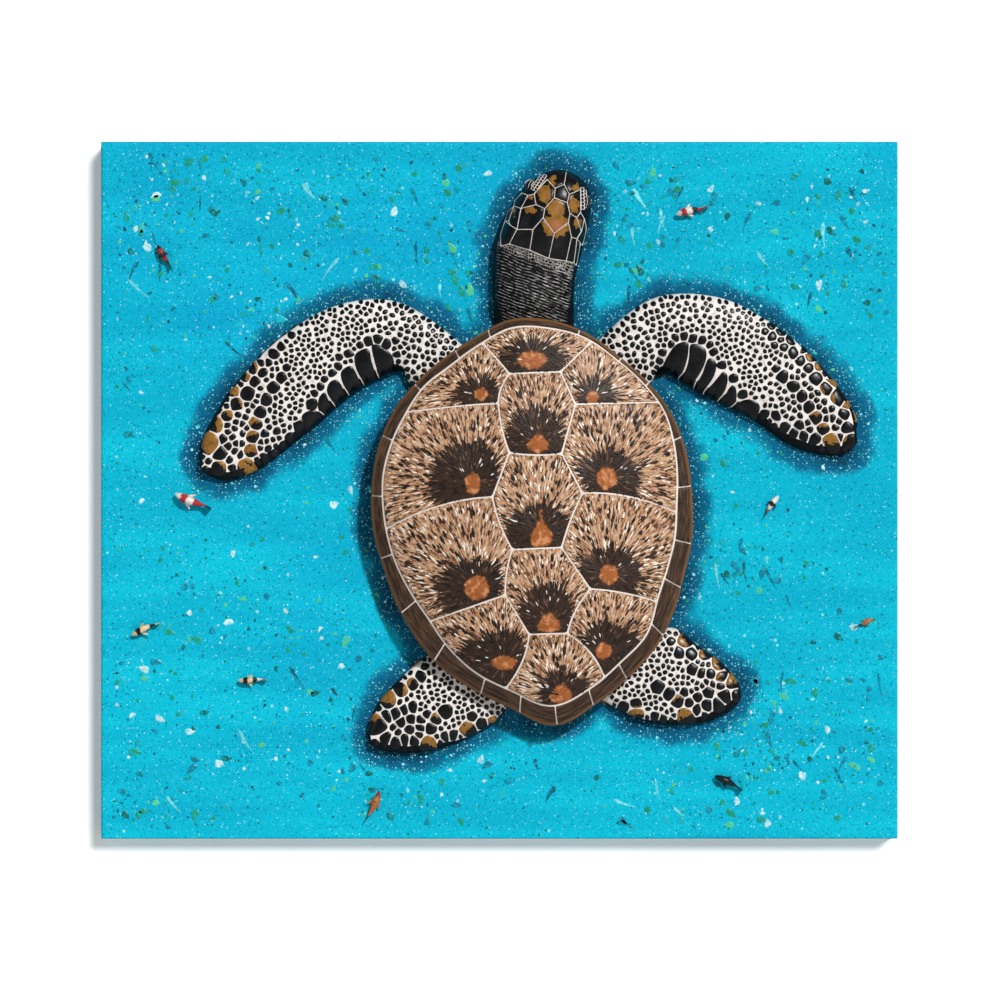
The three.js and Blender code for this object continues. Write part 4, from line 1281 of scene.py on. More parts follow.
head_sides = [[section[side] for section in HEAD_SECTIONS] for side in (0, 1)]
head_heights = [(section[2], 0) for section in HEAD_SECTIONS]
head_rings = []
for station in range(HEAD_STATIONS + 1):
    t = station / HEAD_STATIONS
    left, right = [along_line(side, t) for side in head_sides]
    top = along_line(head_heights, t).x
    swell = FOLD_SWELL * eased(1, 0, NECK_END - 0.03, NECK_END, t)
    ring = []
    for turn, leftward, up in arch(HEAD_AROUND, HEAD_ROUNDNESS):
        grown = 1 + swell * math.sin(t * 330 + 2.5 * math.sin(turn * 2 + t * 40))
        place = (left + right) / 2 + (left - right) / 2 * leftward * grown
        ring.append((*place, PANEL_DEPTH + max((top * up or FOOT) * grown, FOOT)))
    ring += [(*left.lerp(right, share), PANEL_DEPTH + FOOT) for share in (0.8, 0.6, 0.4, 0.2)]
    head_rings.append(ring)
head_top = cast_in(skin, ends_closed(head_rings))

# Each point of it keeps how far it is to the right, how far behind the head's back, and its height.
back_left, back_right = [Vector(side[HEAD_BEGINS]) for side in head_sides]
rightward = (back_right - back_left).normalized()
for vert, place, height in newly_made(skin, made):
    offset = place - back_left
    vert[black_side] = ALL_BLACK
    vert[neck_run] = (offset.dot(rightward), offset.x * rightward.y - offset.y * rightward.x, height)

SKIN_WHITE, SKIN_GREY = paint(242, 236, 230), paint(210, 198, 188)
SCALE_BLACK, SCALE_CHARCOAL = paint(5, 7, 10), paint(24, 27, 32)
SCALE_OCHRE, SCALE_BROWN, SCALE_TAN = paint(158, 112, 46), paint(122, 82, 34), paint(172, 110, 72)
WRINKLE_WHITE = paint(232, 226, 218)

skin_paint, coords, shader = new_material("skin_paint", 0.12)
uneven = mottle(coords, 420, 3)
white = layered(SKIN_WHITE, (uneven, 0.45, 0.75, SKIN_GREY))
black = layered(SCALE_BLACK, (uneven, 0.4, 0.8, SCALE_CHARCOAL))
black_edge = reckon("ADD", from_mesh(coords, "black_side"), scaled(uneven, 0.9, -0.45))
base = layered(white, (black_edge, -0.12, 0.12, black))


def waves(place, apart):
    """Waves between -1 and 1, so many millimetres apart."""
    return reckon("SINE", reckon("MULTIPLY", place, 2 * math.pi / apart))


# The neck's wrinkles: lines across it that slope with the back of the head, broken here and there.
run = parts_of(from_mesh(coords, "neck_run", "Vector"))
across, behind = run["X"], run["Y"]
drift, crinkled, broken = mottle(coords, 70, 3), mottle(coords, 380, 2), mottle(coords, 360, 3)
threshold = scaled(broken, 0.4, 0.72)
fanned = waves(scaled(drift, 2.6, scaled(crinkled, 0.9, scaled(across, -0.07, behind))), 1.5)
line = rise(reckon("SUBTRACT", fanned, threshold), 0.0, 0.12)
# Lines at another slope cross them on the right.
slanted = waves(scaled(across, 0.16, scaled(drift, 3.4, behind)), 1.9)
to_right = rise(scaled(broken, 14, across), 24, 36)
crossing = reckon("MULTIPLY", rise(reckon("SUBTRACT", slanted, threshold), 0.05, 0.15), to_right)
# A fine net lies next to the head.
net = put(coords, "TexVoronoi", {"Vector": coords, "Scale": 600}, feature="DISTANCE_TO_EDGE").outputs
net_line = reckon("MULTIPLY", reckon("LESS_THAN", net["Distance"], 0.045), 0.6)
off_head = rise(behind, -2.4, -2.0)
net_reach = rise(scaled(drift, 5, scaled(across, -0.1, behind)), 4.1, 2.3)
net_line = reckon("MULTIPLY", net_line, reckon("MULTIPLY", off_head, net_reach))
lines = reckon("MAXIMUM", reckon("MAXIMUM", line, crossing), net_line)
lines = reckon("MULTIPLY", lines, reckon("MULTIPLY", off_head, rise(run["Z"], 28, 31)))
base = blended(lines, base, WRINKLE_WHITE)
finish_paint(coords, shader, base, marks=800, rough=(0.32, 0.25), relief=0.00008)
skin = new_piece("turtle_skin", skin, skin_paint)
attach(skin, "root")
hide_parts("torso", "neck", "head", "flipper_front_left", "flipper_front_right",
            "flipper_rear_left", "flipper_rear_right")

# ---------------------------------------------------------------- flipper scales
# Raised black scales, cast with the skin and painted, with the off-white ground left between
# them: six large plates behind each front flipper's bend, rounded ones along the edges and down
# the middle, some with an ochre patch, and hundreds of small ones that fill the rest.

# Each plate's outline, from its rounded inner end to where it runs down the flipper's side.
FLIPPER_PLATES = {
    "front_left": [
        [(-65, 72.8), (-63, 74), (-60.1, 73.2), (-55.5, 69.6), (-53.8, 65.7), (-54, 61.7),
         (-55.1, 57.4), (-59.4, 54.6), (-61.2, 58.1), (-63.3, 64.6)],
        [(-73.7, 67.4), (-71.9, 70.3), (-68.4, 71.9), (-66.2, 70.7), (-64.8, 64.6), (-62.3, 58.1),
         (-60.5, 54.2), (-67.6, 49.9), (-69.1, 54.2), (-72.6, 61)],
        [(-80.7, 58.9), (-79.1, 61.7), (-75.9, 63.1), (-73.7, 61), (-71.6, 56.7), (-68.6, 52.8),
         (-68.4, 49.2), (-75.1, 44.9), (-76.6, 48.8), (-79.4, 53.8)],
        [(-87.7, 51.7), (-86.2, 54.9), (-83.4, 56.1), (-81.2, 54.6), (-79.4, 51.3), (-76.2, 47.4),
         (-75.9, 44.5), (-83, 39.5), (-83.7, 43.1), (-87, 48.1)],
        [(-92.3, 43.8), (-91.6, 47.4), (-89.1, 49.6), (-87.7, 47.4), (-85.9, 44.2), (-83.4, 41.8),
         (-83.7, 39.2), (-87.3, 36.7), (-89.5, 39.2), (-92, 41)],
        [(-100.6, 37.4), (-98, 39.9), (-94.5, 40.7), (-91.2, 39.2), (-87.7, 37.7), (-88, 36),
         (-93, 32), (-98, 30.2), (-99.5, 33.1)],
    ],
    "front_right": [
        [(83, 62.9), (86.3, 69.5), (90, 73.9), (94.3, 75.4), (96.2, 73.9), (95.7, 68.1),
         (93.6, 60.7), (90.8, 57.1), (89.2, 52), (84.8, 54.2), (81.2, 57.8)],
        [(96.9, 73.2), (100.2, 74.3), (103.9, 72.5), (105.3, 69.5), (104.6, 64.8), (102, 59.3),
         (99.3, 54.9), (97.3, 48.3), (90.3, 51.6), (91.8, 57.1), (94.5, 60.7), (96.4, 67.3)],
        [(105.7, 65.9), (108.2, 66.7), (110.2, 64.4), (109.7, 59.6), (107.1, 54.5), (103.9, 50.5),
         (102.4, 45.4), (98, 47.9), (100.2, 54.2), (103.1, 58.9)],
        [(111.5, 57.8), (113.7, 60), (115.7, 58.9), (116, 54.9), (114.5, 50.1), (111.2, 46.1),
         (109, 42.4), (103.1, 45), (104.6, 49.9), (108.6, 54.2)],
        [(116.7, 51.6), (118.6, 53.3), (120.3, 51.8), (120.7, 47.2), (119.6, 44.3), (117, 42.4),
         (114.8, 39.9), (109.7, 42.1), (111.9, 45.7), (115.4, 49.4)],
        [(118.9, 42.4), (122.9, 45.2), (127.3, 46.1), (131.5, 44.3), (132.5, 41.4), (131.3, 38.1),
         (129.5, 35.1), (122.9, 36.2), (115.6, 39.5)],
    ],
}
# Each rounded scale: its middle and radius, then for an ochre patch the side it lies on, in
# degrees, and how far it reaches past the middle.
ROUNDED_SCALES = {
    "front_left": [
        (-105.3, 83.7, 2.6), (-110.9, 79.7, 2.4), (-115.7, 75.3, 2.4), (-121, 69.7, 2.6),
        (-125.7, 62.3, 3.1, 20, -1.2), (-129.6, 57.6, 2.6, 0, -0.6), (-135.4, 50.7, 3.2, 30, 1.6),
        (-144.1, 33.8, 3.6, 0, 0.2), (-148.2, 23.6, 5.6, 60, 4), (-105.8, 79.1, 2), (-111.4, 73, 2.2),
        (-115, 69.3, 2.9), (-117.3, 65, 2.1), (-121.2, 64.8, 1.9), (-120.6, 59.8, 2.5),
        (-124.7, 55.2, 2.6), (-128.3, 49.1, 3.9), (-133.9, 44, 3.3, 20, -1.8), (-139, 37.8, 3, 50, -0.9),
        (-140.5, 26.1, 2), (-142.5, 18.5, 3.9), (-143, 11.8, 3.7, 40, -1.5), (-138, 22.3, 2),
        (-135.9, 11.3, 1.8), (-108.1, 62.4, 2.1), (-110.9, 57.4, 2.9), (-115.1, 52.1, 3.1),
        (-118.6, 46, 3.2), (-121.6, 39.5, 3.2), (-124.2, 33.8, 3.2, 120, -0.6),
        (-125.7, 27.4, 3.3, 100, -0.7), (-126.7, 20.2, 3.4, 95, 0.4), (-128.8, 11.6, 4.8, 60, 2.2),
        (-95.6, 44.2, 2.7), (-102.3, 32.7, 2.7), (-106.8, 27.1, 2.3), (-110.4, 23.1, 1.9),
        (-114.5, 19, 1.9), (-119.6, 16.6, 2.3), (-123.2, 14.9, 1.7), (-76.6, 69.4, 2.1),
        (-71.2, 74, 1.9), (-66.9, 75.8, 2.1), (-61.9, 77.1, 2.1), (-57.1, 74.4, 2.3), (-53, 75.8, 1.8),
        (-52, 69.2, 1.7), (-81.8, 67.4, 1.8), (-82.2, 63.3, 1.9), (-85.2, 59.9, 2), (-89.3, 56.5, 1.6),
        (-91.3, 52.9, 1.7), (-94.4, 49.4, 1.7), (-113, 30, 1.9), (-119.4, 28.8, 1.9), (-117.5, 21, 1.9),
    ],
    "front_right": [
        (138.3, 84.2, 2.2), (143.7, 80.9, 2.5), (148.5, 76.9, 2.6), (154.7, 72.8, 2.8),
        (158.4, 67.7, 2.4, 190, 0.2), (162.8, 62.9, 2.4, 180, 0.6), (169.7, 56, 3, 200, 2),
        (177.8, 43.9, 2.7, 190, 2), (181.4, 36.6, 3.2, 110, 2.2), (135.3, 80.9, 1.8), (139, 78.3, 2.1),
        (143.4, 76.5, 1.5), (140, 73.5, 1.9), (144.8, 72.8, 2.2), (149.6, 69.9, 2.8), (153.6, 65.9, 2.4),
        (157.6, 62.2, 2.7), (161.3, 57.1, 3.4), (166.4, 52.2, 3.2, 180, -1.6), (173, 47.4, 3.9, 190, -2.4),
        (176, 38.4, 2.8), (177.3, 31.8, 3.3), (178.9, 24.9, 4.2, 150, -2.4), (140.8, 61.5, 2.1),
        (144.1, 57.8, 3.1), (149.6, 52.7, 3.2), (154, 47.6, 3.1), (157.6, 42.5, 3.2),
        (161.3, 37, 3.3, 90, -1.6), (165, 31.5, 2.9, 90, -1.3), (169, 24.6, 4.3, 100, 1.2),
        (135.2, 38.8, 2.3), (140.6, 38, 2.4), (145.2, 31.8, 2.4), (149.9, 28.9, 2.1), (155.1, 27.6, 2.3),
        (160.5, 26, 2.7), (152.9, 33.4, 2.3), (164.6, 21.8, 1.6), (173.6, 26.6, 1.8), (109.4, 70.4, 2),
        (113.6, 63.8, 2.1), (119.3, 57, 2), (124.2, 49, 2.1), (87.2, 74.6, 1.7), (89.5, 77.8, 1.8),
        (94, 78.6, 2), (98.4, 77.3, 2), (103.4, 76.3, 2), (107.2, 74.2, 1.7), (82.8, 70.3, 1.8),
        (81.2, 65.8, 1.7),
    ],
    "rear_left": [
        (-42.6, -87.8, 2.6, 90, 3), (-38, -89.7, 1.9), (-39.8, -95, 2.9), (-44.1, -98.8, 3.3, 150, -1.4),
        (-49.8, -101.8, 3.6, 0, -0.6), (-56.6, -106.6, 4.4, 80, 1.8), (-62.4, -119.4, 5.6, 95, -2.6),
        (-57.9, -115.8, 3.5), (-52.8, -114, 2.9), (-48.2, -111.6, 2.4), (-44.4, -110.4, 2.8),
        (-50.2, -118.2, 2.5), (-45.1, -116.7, 2.4), (-45.6, -121.8, 2.5), (-40.2, -117.2, 2.3),
        (-37, -114, 2.2), (-27.6, -112.8, 4), (-32.2, -116.4, 3.2, 90, -1), (-40.4, -120.8, 2.3),
        (-34.6, -121.4, 3), (-35.9, -129, 4, 60, 0.8), (-58.4, -125.9, 3.2), (-52.8, -128.2, 2.8),
        (-48.2, -126.6, 2.7), (-43.6, -127.4, 2.6), (-41, -124.4, 2), (-27.8, -125.2, 2.4),
        (-23.6, -124.4, 2.5), (-16.2, -121.6, 4, 140, 0.4), (-14, -115.2, 2.8), (-9.2, -118.4, 2.8),
        (-3.6, -117.2, 2.2, 90, 1),
    ],
    "rear_right": [
        (87, -77, 2.2), (94.8, -76.2, 4, 200, -0.6), (91.4, -82.9, 2.8), (97.8, -83.4, 3.2),
        (104.4, -83.6, 3, 180, -0.4), (111.9, -88.2, 3.9, 200, -0.4), (113.4, -95.2, 3.2, 180, -0.8),
        (118.6, -97.6, 3.8, 100, 1), (120, -104.4, 3), (98.2, -91.2, 3.1), (102.8, -92.8, 2.5),
        (107.4, -93.4, 2.7), (112.6, -99.2, 2.2), (115.4, -105, 3.4), (80.6, -100.2, 3.7),
        (86.4, -103.8, 3.5), (90.6, -107.4, 3.2, 120, -0.9), (94.1, -102.6, 2.1), (106.2, -103, 2.7),
        (100.8, -105.2, 2.5), (96.8, -108.4, 2.4), (105.6, -109.6, 3), (111.2, -109.4, 3),
        (100.4, -111.6, 2.5), (94.6, -115.2, 4.3, 110, 0.6), (63, -110.3, 3.1), (69.8, -108.8, 3, 270, -1.4),
        (69.6, -114.8, 4.3, 90, -0.4), (53.8, -108.6, 3.4, 90, 0.6), (79.2, -115.2, 2.4), (83.2, -116.4, 2),
    ],
}
LINE_WIDTH = 0.6  # of the white between two scales
# Sections of a scale: how far in towards its middle, as a share, and how high above the skin.
SMALL_SECTION = ((1, -0.4), (0, -0.4), (0, 0.1), (0.22, 0.36), (1, 0.5))
LARGE_SECTION = ((1, -0.5), (0, -0.5), (0, 0.1), (0.07, 0.4), (0.2, 0.58), (0.42, 0.7), (0.7, 0.76), (1, 0.8))
LINE_SECTION = ((-1, -0.3), (-1, 0.12), (-0.5, 0.24), (0.5, 0.24), (1, 0.12), (1, -0.3))
PLATE_LINE = 0.26  # half the width of the white line between two plates
PLATE_APART = 3.2  # no gap between two plates is as wide as this
PLATE_GHOST = 1.1  # how far small scales keep from the plates
SEED_TRIES = 15000
UNDER_SHELL = 5
EDGE_KEPT = 0.12  # how far a scale keeps from the skin's edge
NO_PATCH = -5


def in_pairs(outline):
    """Each point of an outline, after the one before it."""
    return zip(outline[-1:] + outline[:-1], outline)


def clipped(outline, point, way):
    """The part of a convex outline behind a line that runs through the point, square to the way."""
    kept = []
    for before, here in in_pairs(outline):
        past_before, past_here = (before - point).dot(way), (here - point).dot(way)
        if past_before * past_here < 0:
            kept.append(before.lerp(here, past_before / (past_before - past_here)))
        if past_here <= 0:
            kept.append(here)
    return kept


def cut_corners(outline, times=1):
    """The outline with each corner cut off, again and again."""
    for _ in range(times):
        outline = [a.lerp(b, share) for a, b in in_pairs(outline) for share in (0.25, 0.75)]
    return outline


def swelled(outline):
    """The outline drawn out at its corners, so that it still reaches there once they are cut."""
    following = outline[1:] + outline[:1]
    return [p * 1.35 - (outline[k - 1] + following[k]) * 0.175 for k, p in enumerate(outline)]


def draped(tops, place, lift):
    """A point in panel millimetres, lifted off the surface at a place, or off the nearest side."""
    hit, normal = straight_on(tops, place)
    if hit is None:
        hit, normal = tops.find_nearest(on_panel(*place, PANEL_DEPTH + 2))[:2]
    return off_panel(hit + normal * lift * MM)


def lay_scale(mesh, tops, outline, section):
    """Lays a scale with an outline on a surface."""
    middle = sum(outline, Vector((0, 0))) / len(outline)
    rings = [[draped(tops, p.lerp(middle, share), lift) for p in outline] if share < 1 else
             [draped(tops, middle, lift)] * len(outline) for share, lift in section]
    closed_skin(rings, mesh)


def small_size(name, t):
    """The radius of a small scale and the least distance between two, part t of the way out."""
    if pair_of(name) == "rear":
        return eased(1.1, 2.1, 0.4, 0.8, t), eased(2.35, 3.8, 0.4, 0.8, t)
    dot = eased(1.28, 1.06, 0.2, 0.45, t)
    return eased(dot, 1.75, 0.55, 0.85, t), eased(dot * 2.2, 3.2, 0.55, 0.85, t)


def small_scales(name, plates, rounded_scales):
    """Places and radii for small scales, thrown at random and kept where they have room."""
    plate_edges = [array_of(plate) for plate in plates]
    taken = [(x, y, radius * 0.93 + LINE_WIDTH, 0) for x, y, radius, *_ in rounded_scales]
    taken += [(*p, PLATE_GHOST, 0) for plate in plates for p in cut_corners(plate)]
    kept = []
    for _ in range(SEED_TRIES):
        t, across = random.random(), random.uniform(0.01, 0.99)
        front_edge, back_edge = [along_line(points, t) for points in FLIPPERS[name]]
        place = front_edge.lerp(back_edge, across)
        radius, spacing = small_size(name, t)
        margin = side_widths(name, t)[0] * 0.75 + radius * 0.9
        if (place - back_edge).length < margin or (place - front_edge).length < radius * 0.55:
            continue
        degrees, reach = angle_and_reach(place)
        if reach < shell_radius(degrees) - UNDER_SHELL or any(inside(place, edge) for edge in plate_edges):
            continue
        others = numpy.array(taken)
        room = others[:, 2] + numpy.where(others[:, 3] > 0, spacing / 2, radius * 0.85)
        if (distances(others, place) > room).all():
            taken.append((*place, spacing / 2, 1))
            kept.append((*place, radius))
    return kept


def scale_outline(number, seeds, edges):
    """A ragged disc, cut back to the lines between it and its neighbours and to the skin's edge."""
    x, y, radius, limit, corners = seeds[number]
    turn, stretch = random.uniform(0, math.pi), random.uniform(1, 1.22)
    outline = []
    for k in range(int(corners)):
        angle = 2 * math.pi * k / corners
        reach = limit * random.uniform(0.88, 1.08)
        along, across = reach * math.cos(angle) * stretch, reach * math.sin(angle) / stretch
        outline.append(Vector((x + along * math.cos(turn) - across * math.sin(turn),
                               y + along * math.sin(turn) + across * math.cos(turn))))
    middle = Vector((x, y))
    away = numpy.hypot(seeds[:, 0] - x, seeds[:, 1] - y)
    neighbours = seeds[(away > 0) & (away < (limit + seeds[:, 3]) * 1.3 + LINE_WIDTH)]
    for other_x, other_y, other_radius, *_ in neighbours:
        way = Vector((other_x, other_y)) - middle
        apart = way.length
        line = (apart ** 2 + radius ** 2 - other_radius ** 2) / (2 * apart) - LINE_WIDTH / 2
        outline = clipped(outline, middle + way / apart * line, way)
    for edge in edges:
        nearest = Vector(edge[numpy.hypot(edge[:, 0] - x, edge[:, 1] - y).argmin()])
        way = nearest - middle
        if 0.01 < way.length < limit * 1.5:
            outline = clipped(outline, nearest - way.normalized() * EDGE_KEPT, way)
    return outline


def drawn_line(mesh, tops, path, half_width):
    """A white line laid along a path, not quite even in width."""
    rings = []
    for k, place in enumerate(path):
        way = (path[min(k + 1, len(path) - 1)] - path[max(k - 1, 0)]).normalized()
        aside = left_of(way) * half_width * random.uniform(0.85, 1.15)
        rings.append([draped(tops, place + aside * share, lift) for share, lift in LINE_SECTION])
    closed_skin(ends_closed(rings), mesh)


def between(plate, following):
    """A smooth path down the gap between two plates and on down the flipper's side."""
    pairs = [(p, min(following, key=lambda q: (q - p).length)) for p in plate]
    path = sorted((p.lerp(q, 0.5) for p, q in pairs if (p - q).length < PLATE_APART), key=lambda p: -p.y)
    path.append(path[-1] + (path[-1] - path[-2]).normalized() * 2)
    return [along_line(path, k / 24) for k in range(25)]


random.seed(9)
scale_pieces, flipper_plates = [], {}
for name, rounded_scales in ROUNDED_SCALES.items():
    plates = [[Vector(point) for point in plate] for plate in FLIPPER_PLATES.get(name, [])]
    flipper_plates[name] = plates
    # Each scale's place, radius, the most that it may reach, and its corners.
    seeds = [(x, y, radius, radius * 1.4, 12) for x, y, radius, *_ in rounded_scales]
    for x, y, radius in small_scales(name, plates, rounded_scales):
        seeds.append((x, y, radius, radius * 1.24 + 0.08, 7))
    seeds = numpy.array(seeds)
    mesh = bmesh.new()
    for plate in plates:
        lay_scale(mesh, flipper_tops[name], cut_corners(swelled(plate), 2), LARGE_SECTION)
    for number in range(len(seeds)):
        outline = scale_outline(number, seeds, edge_lines[name])
        times, section = (2, LARGE_SECTION) if number < len(rounded_scales) else (1, SMALL_SECTION)
        if len(outline) >= 3:
            lay_scale(mesh, flipper_tops[name], cut_corners(outline, times), section)
    # How far inside its scale's ochre patch, if it has one, a point lies, in millimetres.
    ochre_side = mesh.verts.layers.float.new("ochre_side")
    for vert in mesh.verts:
        x, y, _ = off_panel(vert.co)
        vert[ochre_side] = NO_PATCH
        nearest = int(((seeds[:, 0] - x) ** 2 + (seeds[:, 1] - y) ** 2 - seeds[:, 2] ** 2).argmin())
        if nearest < len(rounded_scales) and len(rounded_scales[nearest]) > 3:
            seed_x, seed_y, radius, turn, reach = rounded_scales[nearest]
            offset = Vector((x - seed_x, y - seed_y))
            if offset.length < radius * 1.4:
                vert[ochre_side] = min(offset.dot(pointing(turn)) + reach, 1)
    scale_pieces.append((name, mesh))

scale_paint, coords, shader = new_material("scale_paint", 0.28)
cloudy, ragged = mottle(coords, 190, 2), mottle(coords, 430, 3)
patch = reckon("ADD", from_mesh(coords, "ochre_side"), scaled(ragged, 6.4, -3.2))
ochre = layered(SCALE_OCHRE, (ragged, 0.35, 0.7, SCALE_BROWN), (patch, 1.8, 4.5, SCALE_TAN))
base = layered(SCALE_BLACK, (cloudy, 0.48, 0.8, SCALE_CHARCOAL), (patch, -0.12, 0.12, ochre))
finish_paint(coords, shader, base, rough=(0.22, 0.16), relief=0.00006)
for name, mesh in scale_pieces:
    piece = new_piece("scales_" + name, mesh, scale_paint)
    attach(piece, "root")

# Thin white lines part the six plates, down to the flipper's foot.
line_paint, coords, shader = new_material("line_paint", 0.2)
finish_paint(coords, shader, layered(SEAM_WHITE, (mottle(coords, 500, 2), 0.5, 0.8, SKIN_GREY)))
plate_lines = bmesh.new()
for name, plates in flipper_plates.items():
    for plate, following in zip(plates, plates[1:]):
        drawn_line(plate_lines, flipper_tops[name], between(plate, following), PLATE_LINE)
plate_lines = new_piece("plate_lines", plate_lines, line_paint)
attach(plate_lines, "root")

# ---------------------------------------------------------------- head plates
# The head's plates are cast in low relief and painted black, with ragged ochre patches. White
# lines are drawn in the grooves between them, and two rows of tiny scales edge each eyelid.

HEAD_CORNERS = {name: Vector(place) for name, place in {
    "snout": (33.9, 161.5), "nose_l": (26.5, 160), "nose_r": (39.5, 158), "brow": (32.9, 155.1),
    "brow_l": (28.3, 153.1), "brow_r": (35.4, 150), "front_l": (27.8, 148.2), "front_r": (34.4, 145.7),
    "lid_l": (24.2, 157.7), "lid_r": (41.2, 152.6), "cheek_l": (17.6, 150.2), "cheek_r": (41.2, 140.9),
    "temple_l": (18.6, 144.7), "crown_l": (23, 142.6), "ear_l": (11, 142.9), "crown_r": (35.7, 140.4),
    "temple_r": (39, 138.3), "mid_l": (22.2, 138.1), "mid_r": (34.9, 135.8), "middle": (27.8, 130.2),
    "side_l": (17.1, 132.2), "far_l": (8.9, 132.2), "side_r": (36.5, 128.4), "far_r": (41.6, 131.5),
    "back_l": (15.4, 121.8), "back": (25, 117.6), "back_r": (33.9, 116.4), "end_l": (5, 125),
    "end_r": (37.8, 115.6), "hinge_r": (39.3, 127.6), "jaw_a": (5.4, 134.7), "jaw_b": (4.8, 136.8),
    "jaw_c": (7.4, 144.4), "jaw_d": (7.9, 147.5), "jaw_e": (11.5, 151.1), "under_eye": (14.5, 149.5),
    "jaw_f": (0.8, 124), "jaw_g": (0.6, 130), "jaw_h": (2.8, 136.8), "jaw_i": (4.6, 142.2),
    "chin_a": (43.1, 137.8), "chin_b": (44.2, 133), "chin_c": (42.2, 124.5), "chin_d": (41.1, 125.6),
    "chin_e": (39, 114.3),
}.items()}
HEAD_PLATES = [
    "snout nose_l lid_l brow_l brow", "snout brow brow_r lid_r nose_r",
    "brow brow_l front_l front_r brow_r", "brow_l lid_l cheek_l temple_l crown_l front_l",
    "brow_r front_r crown_r temple_r cheek_r lid_r",
    "front_r front_l crown_l mid_l middle mid_r crown_r", "mid_l side_l back_l back middle",
    "middle back back_r side_r mid_r", "crown_l temple_l ear_l far_l side_l mid_l",
    "side_l far_l end_l back_l", "crown_r mid_r side_r hinge_r far_r temple_r",
    "side_r back_r end_r hinge_r", "ear_l far_l jaw_a jaw_b jaw_c", "under_eye ear_l jaw_c jaw_d jaw_e",
    "cheek_l temple_l ear_l under_eye", "jaw_a far_l end_l jaw_f jaw_g jaw_h",
    "jaw_b jaw_c jaw_i jaw_h", "cheek_r temple_r far_r chin_a", "hinge_r chin_d chin_e end_r",
    "chin_a chin_b chin_c chin_d hinge_r far_r",
]
HEAD_SPOTS = [  # ochre patches: middle, then half the width and half the height
    (26.9, 157.8, 1.9, 3.2), (22.8, 150.2, 3.3, 5), (39.2, 153.4, 2, 2.2), (37.9, 144.8, 2.8, 4),
    (28.6, 142.2, 4.2, 5.4), (28.6, 134.2, 6.6, 5.8), (16.2, 142.3, 2.4, 1.9), (15.9, 148.8, 1.4, 1.8),
    (39.5, 136, 2, 2.9), (7, 142, 1.2, 1.8),
]
HEAD_LINE = 0.18  # half the width of a white line
HEAD_SECTION = ((1, -0.5), (0, -0.5), (0, 0.05), (0.06, 0.32), (0.14, 0.45), (0.24, 0.5), (0.35, 0.52),
                (0.47, 0.54), (0.6, 0.56), (0.74, 0.57), (0.87, 0.58), (1, 0.58))


def anticlockwise(outline):
    area = sum(a.x * b.y - b.x * a.y for a, b in in_pairs(outline))
    return outline if area > 0 else outline[::-1]


random.seed(12)
plates, lines = bmesh.new(), bmesh.new()
# The sides that get no white line, or have theirs. Plates run down the sides of the snout unlined.
lined = {frozenset(side.split()) for side in ("nose_l snout", "snout nose_r", "nose_r lid_r", "lid_l nose_l")}
for names in HEAD_PLATES:
    sides = list(in_pairs(names.split()))
    outline = [point for side in sides for point in bowed(*[HEAD_CORNERS[name] for name in side])]
    outline = rounded(drawn_in(rounded(anticlockwise(outline)), HEAD_LINE))
    lay_scale(plates, head_top, outline, HEAD_SECTION)
    for side in sides:
        if frozenset(side) not in lined:
            lined.add(frozenset(side))
            start, finish = [HEAD_CORNERS[name] for name in side]
            drawn_line(lines, head_top, [*bowed(start, finish), finish], HEAD_LINE)

# The eyelids' rows: where each runs from and to, its number of scales, and half their width.
LID_ROWS = [
    ((23.4, 160.2), (18, 151.8), 6, 0.62), ((21.6, 160), (16.6, 152.6), 6, 0.5),
    ((42, 153.6), (42.3, 142.6), 6, 0.62), ((43.4, 152.4), (43.7, 143.6), 5, 0.5),
]
ROW_GAP = 0.2  # between the scales of a row and the middle of the line along them
for start, finish, count, half in LID_ROWS:
    start, finish = Vector(start), Vector(finish)
    way = (finish - start).normalized()
    pitch = (finish - start).length / count
    edges = [left_of(way) * side * (half + ROW_GAP) for side in (-1, 0, 1)]
    for edge in (edges[0], edges[2]):
        drawn_line(lines, head_top, [start.lerp(finish, k / 12) + edge for k in range(13)], 0.17)
    for k in range(count + 1):
        drawn_line(lines, head_top, [start + way * pitch * k + edge for edge in edges], 0.16)
    for k in range(count):
        middle = start + way * pitch * (k + 0.5)
        outline = [middle + way * i * pitch * 0.36 + left_of(way) * j * half * 0.9
                   for i, j in ((-1, -1), (1, -1), (1, 1), (-1, 1))]
        lay_scale(plates, head_top, cut_corners(outline), SMALL_SECTION)

ochre_side = plates.verts.layers.float.new("ochre_side")
for vert in plates.verts:
    x, y, _ = off_panel(vert.co)
    vert[ochre_side] = max((1 - math.hypot((x - spot_x) / wide, (y - spot_y) / high)) * min(wide, high)
                           for spot_x, spot_y, wide, high in HEAD_SPOTS)
for name, mesh, material in (("head_plates", plates, scale_paint), ("head_lines", lines, line_paint)):
    piece = new_piece(name, mesh, material)
    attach(piece, "root")

# ---------------------------------------------------------------- eyes
# Balls of black gloss enamel set in the sides of the head, each between two lids cast with it.

eye_gloss, coords, shader = new_material("eye_gloss")
clouds = mottle(coords, 300, 2)
feed(shader, {
    "Base Color": layered(paint(14, 12, 11), (clouds, 0.4, 0.7, paint(34, 26, 20))),
    "Roughness": scaled(clouds, 0.08, 0.05), "Coat Weight": 0.8,
})
bumped(shader, clouds, 0.00002, 0.3)

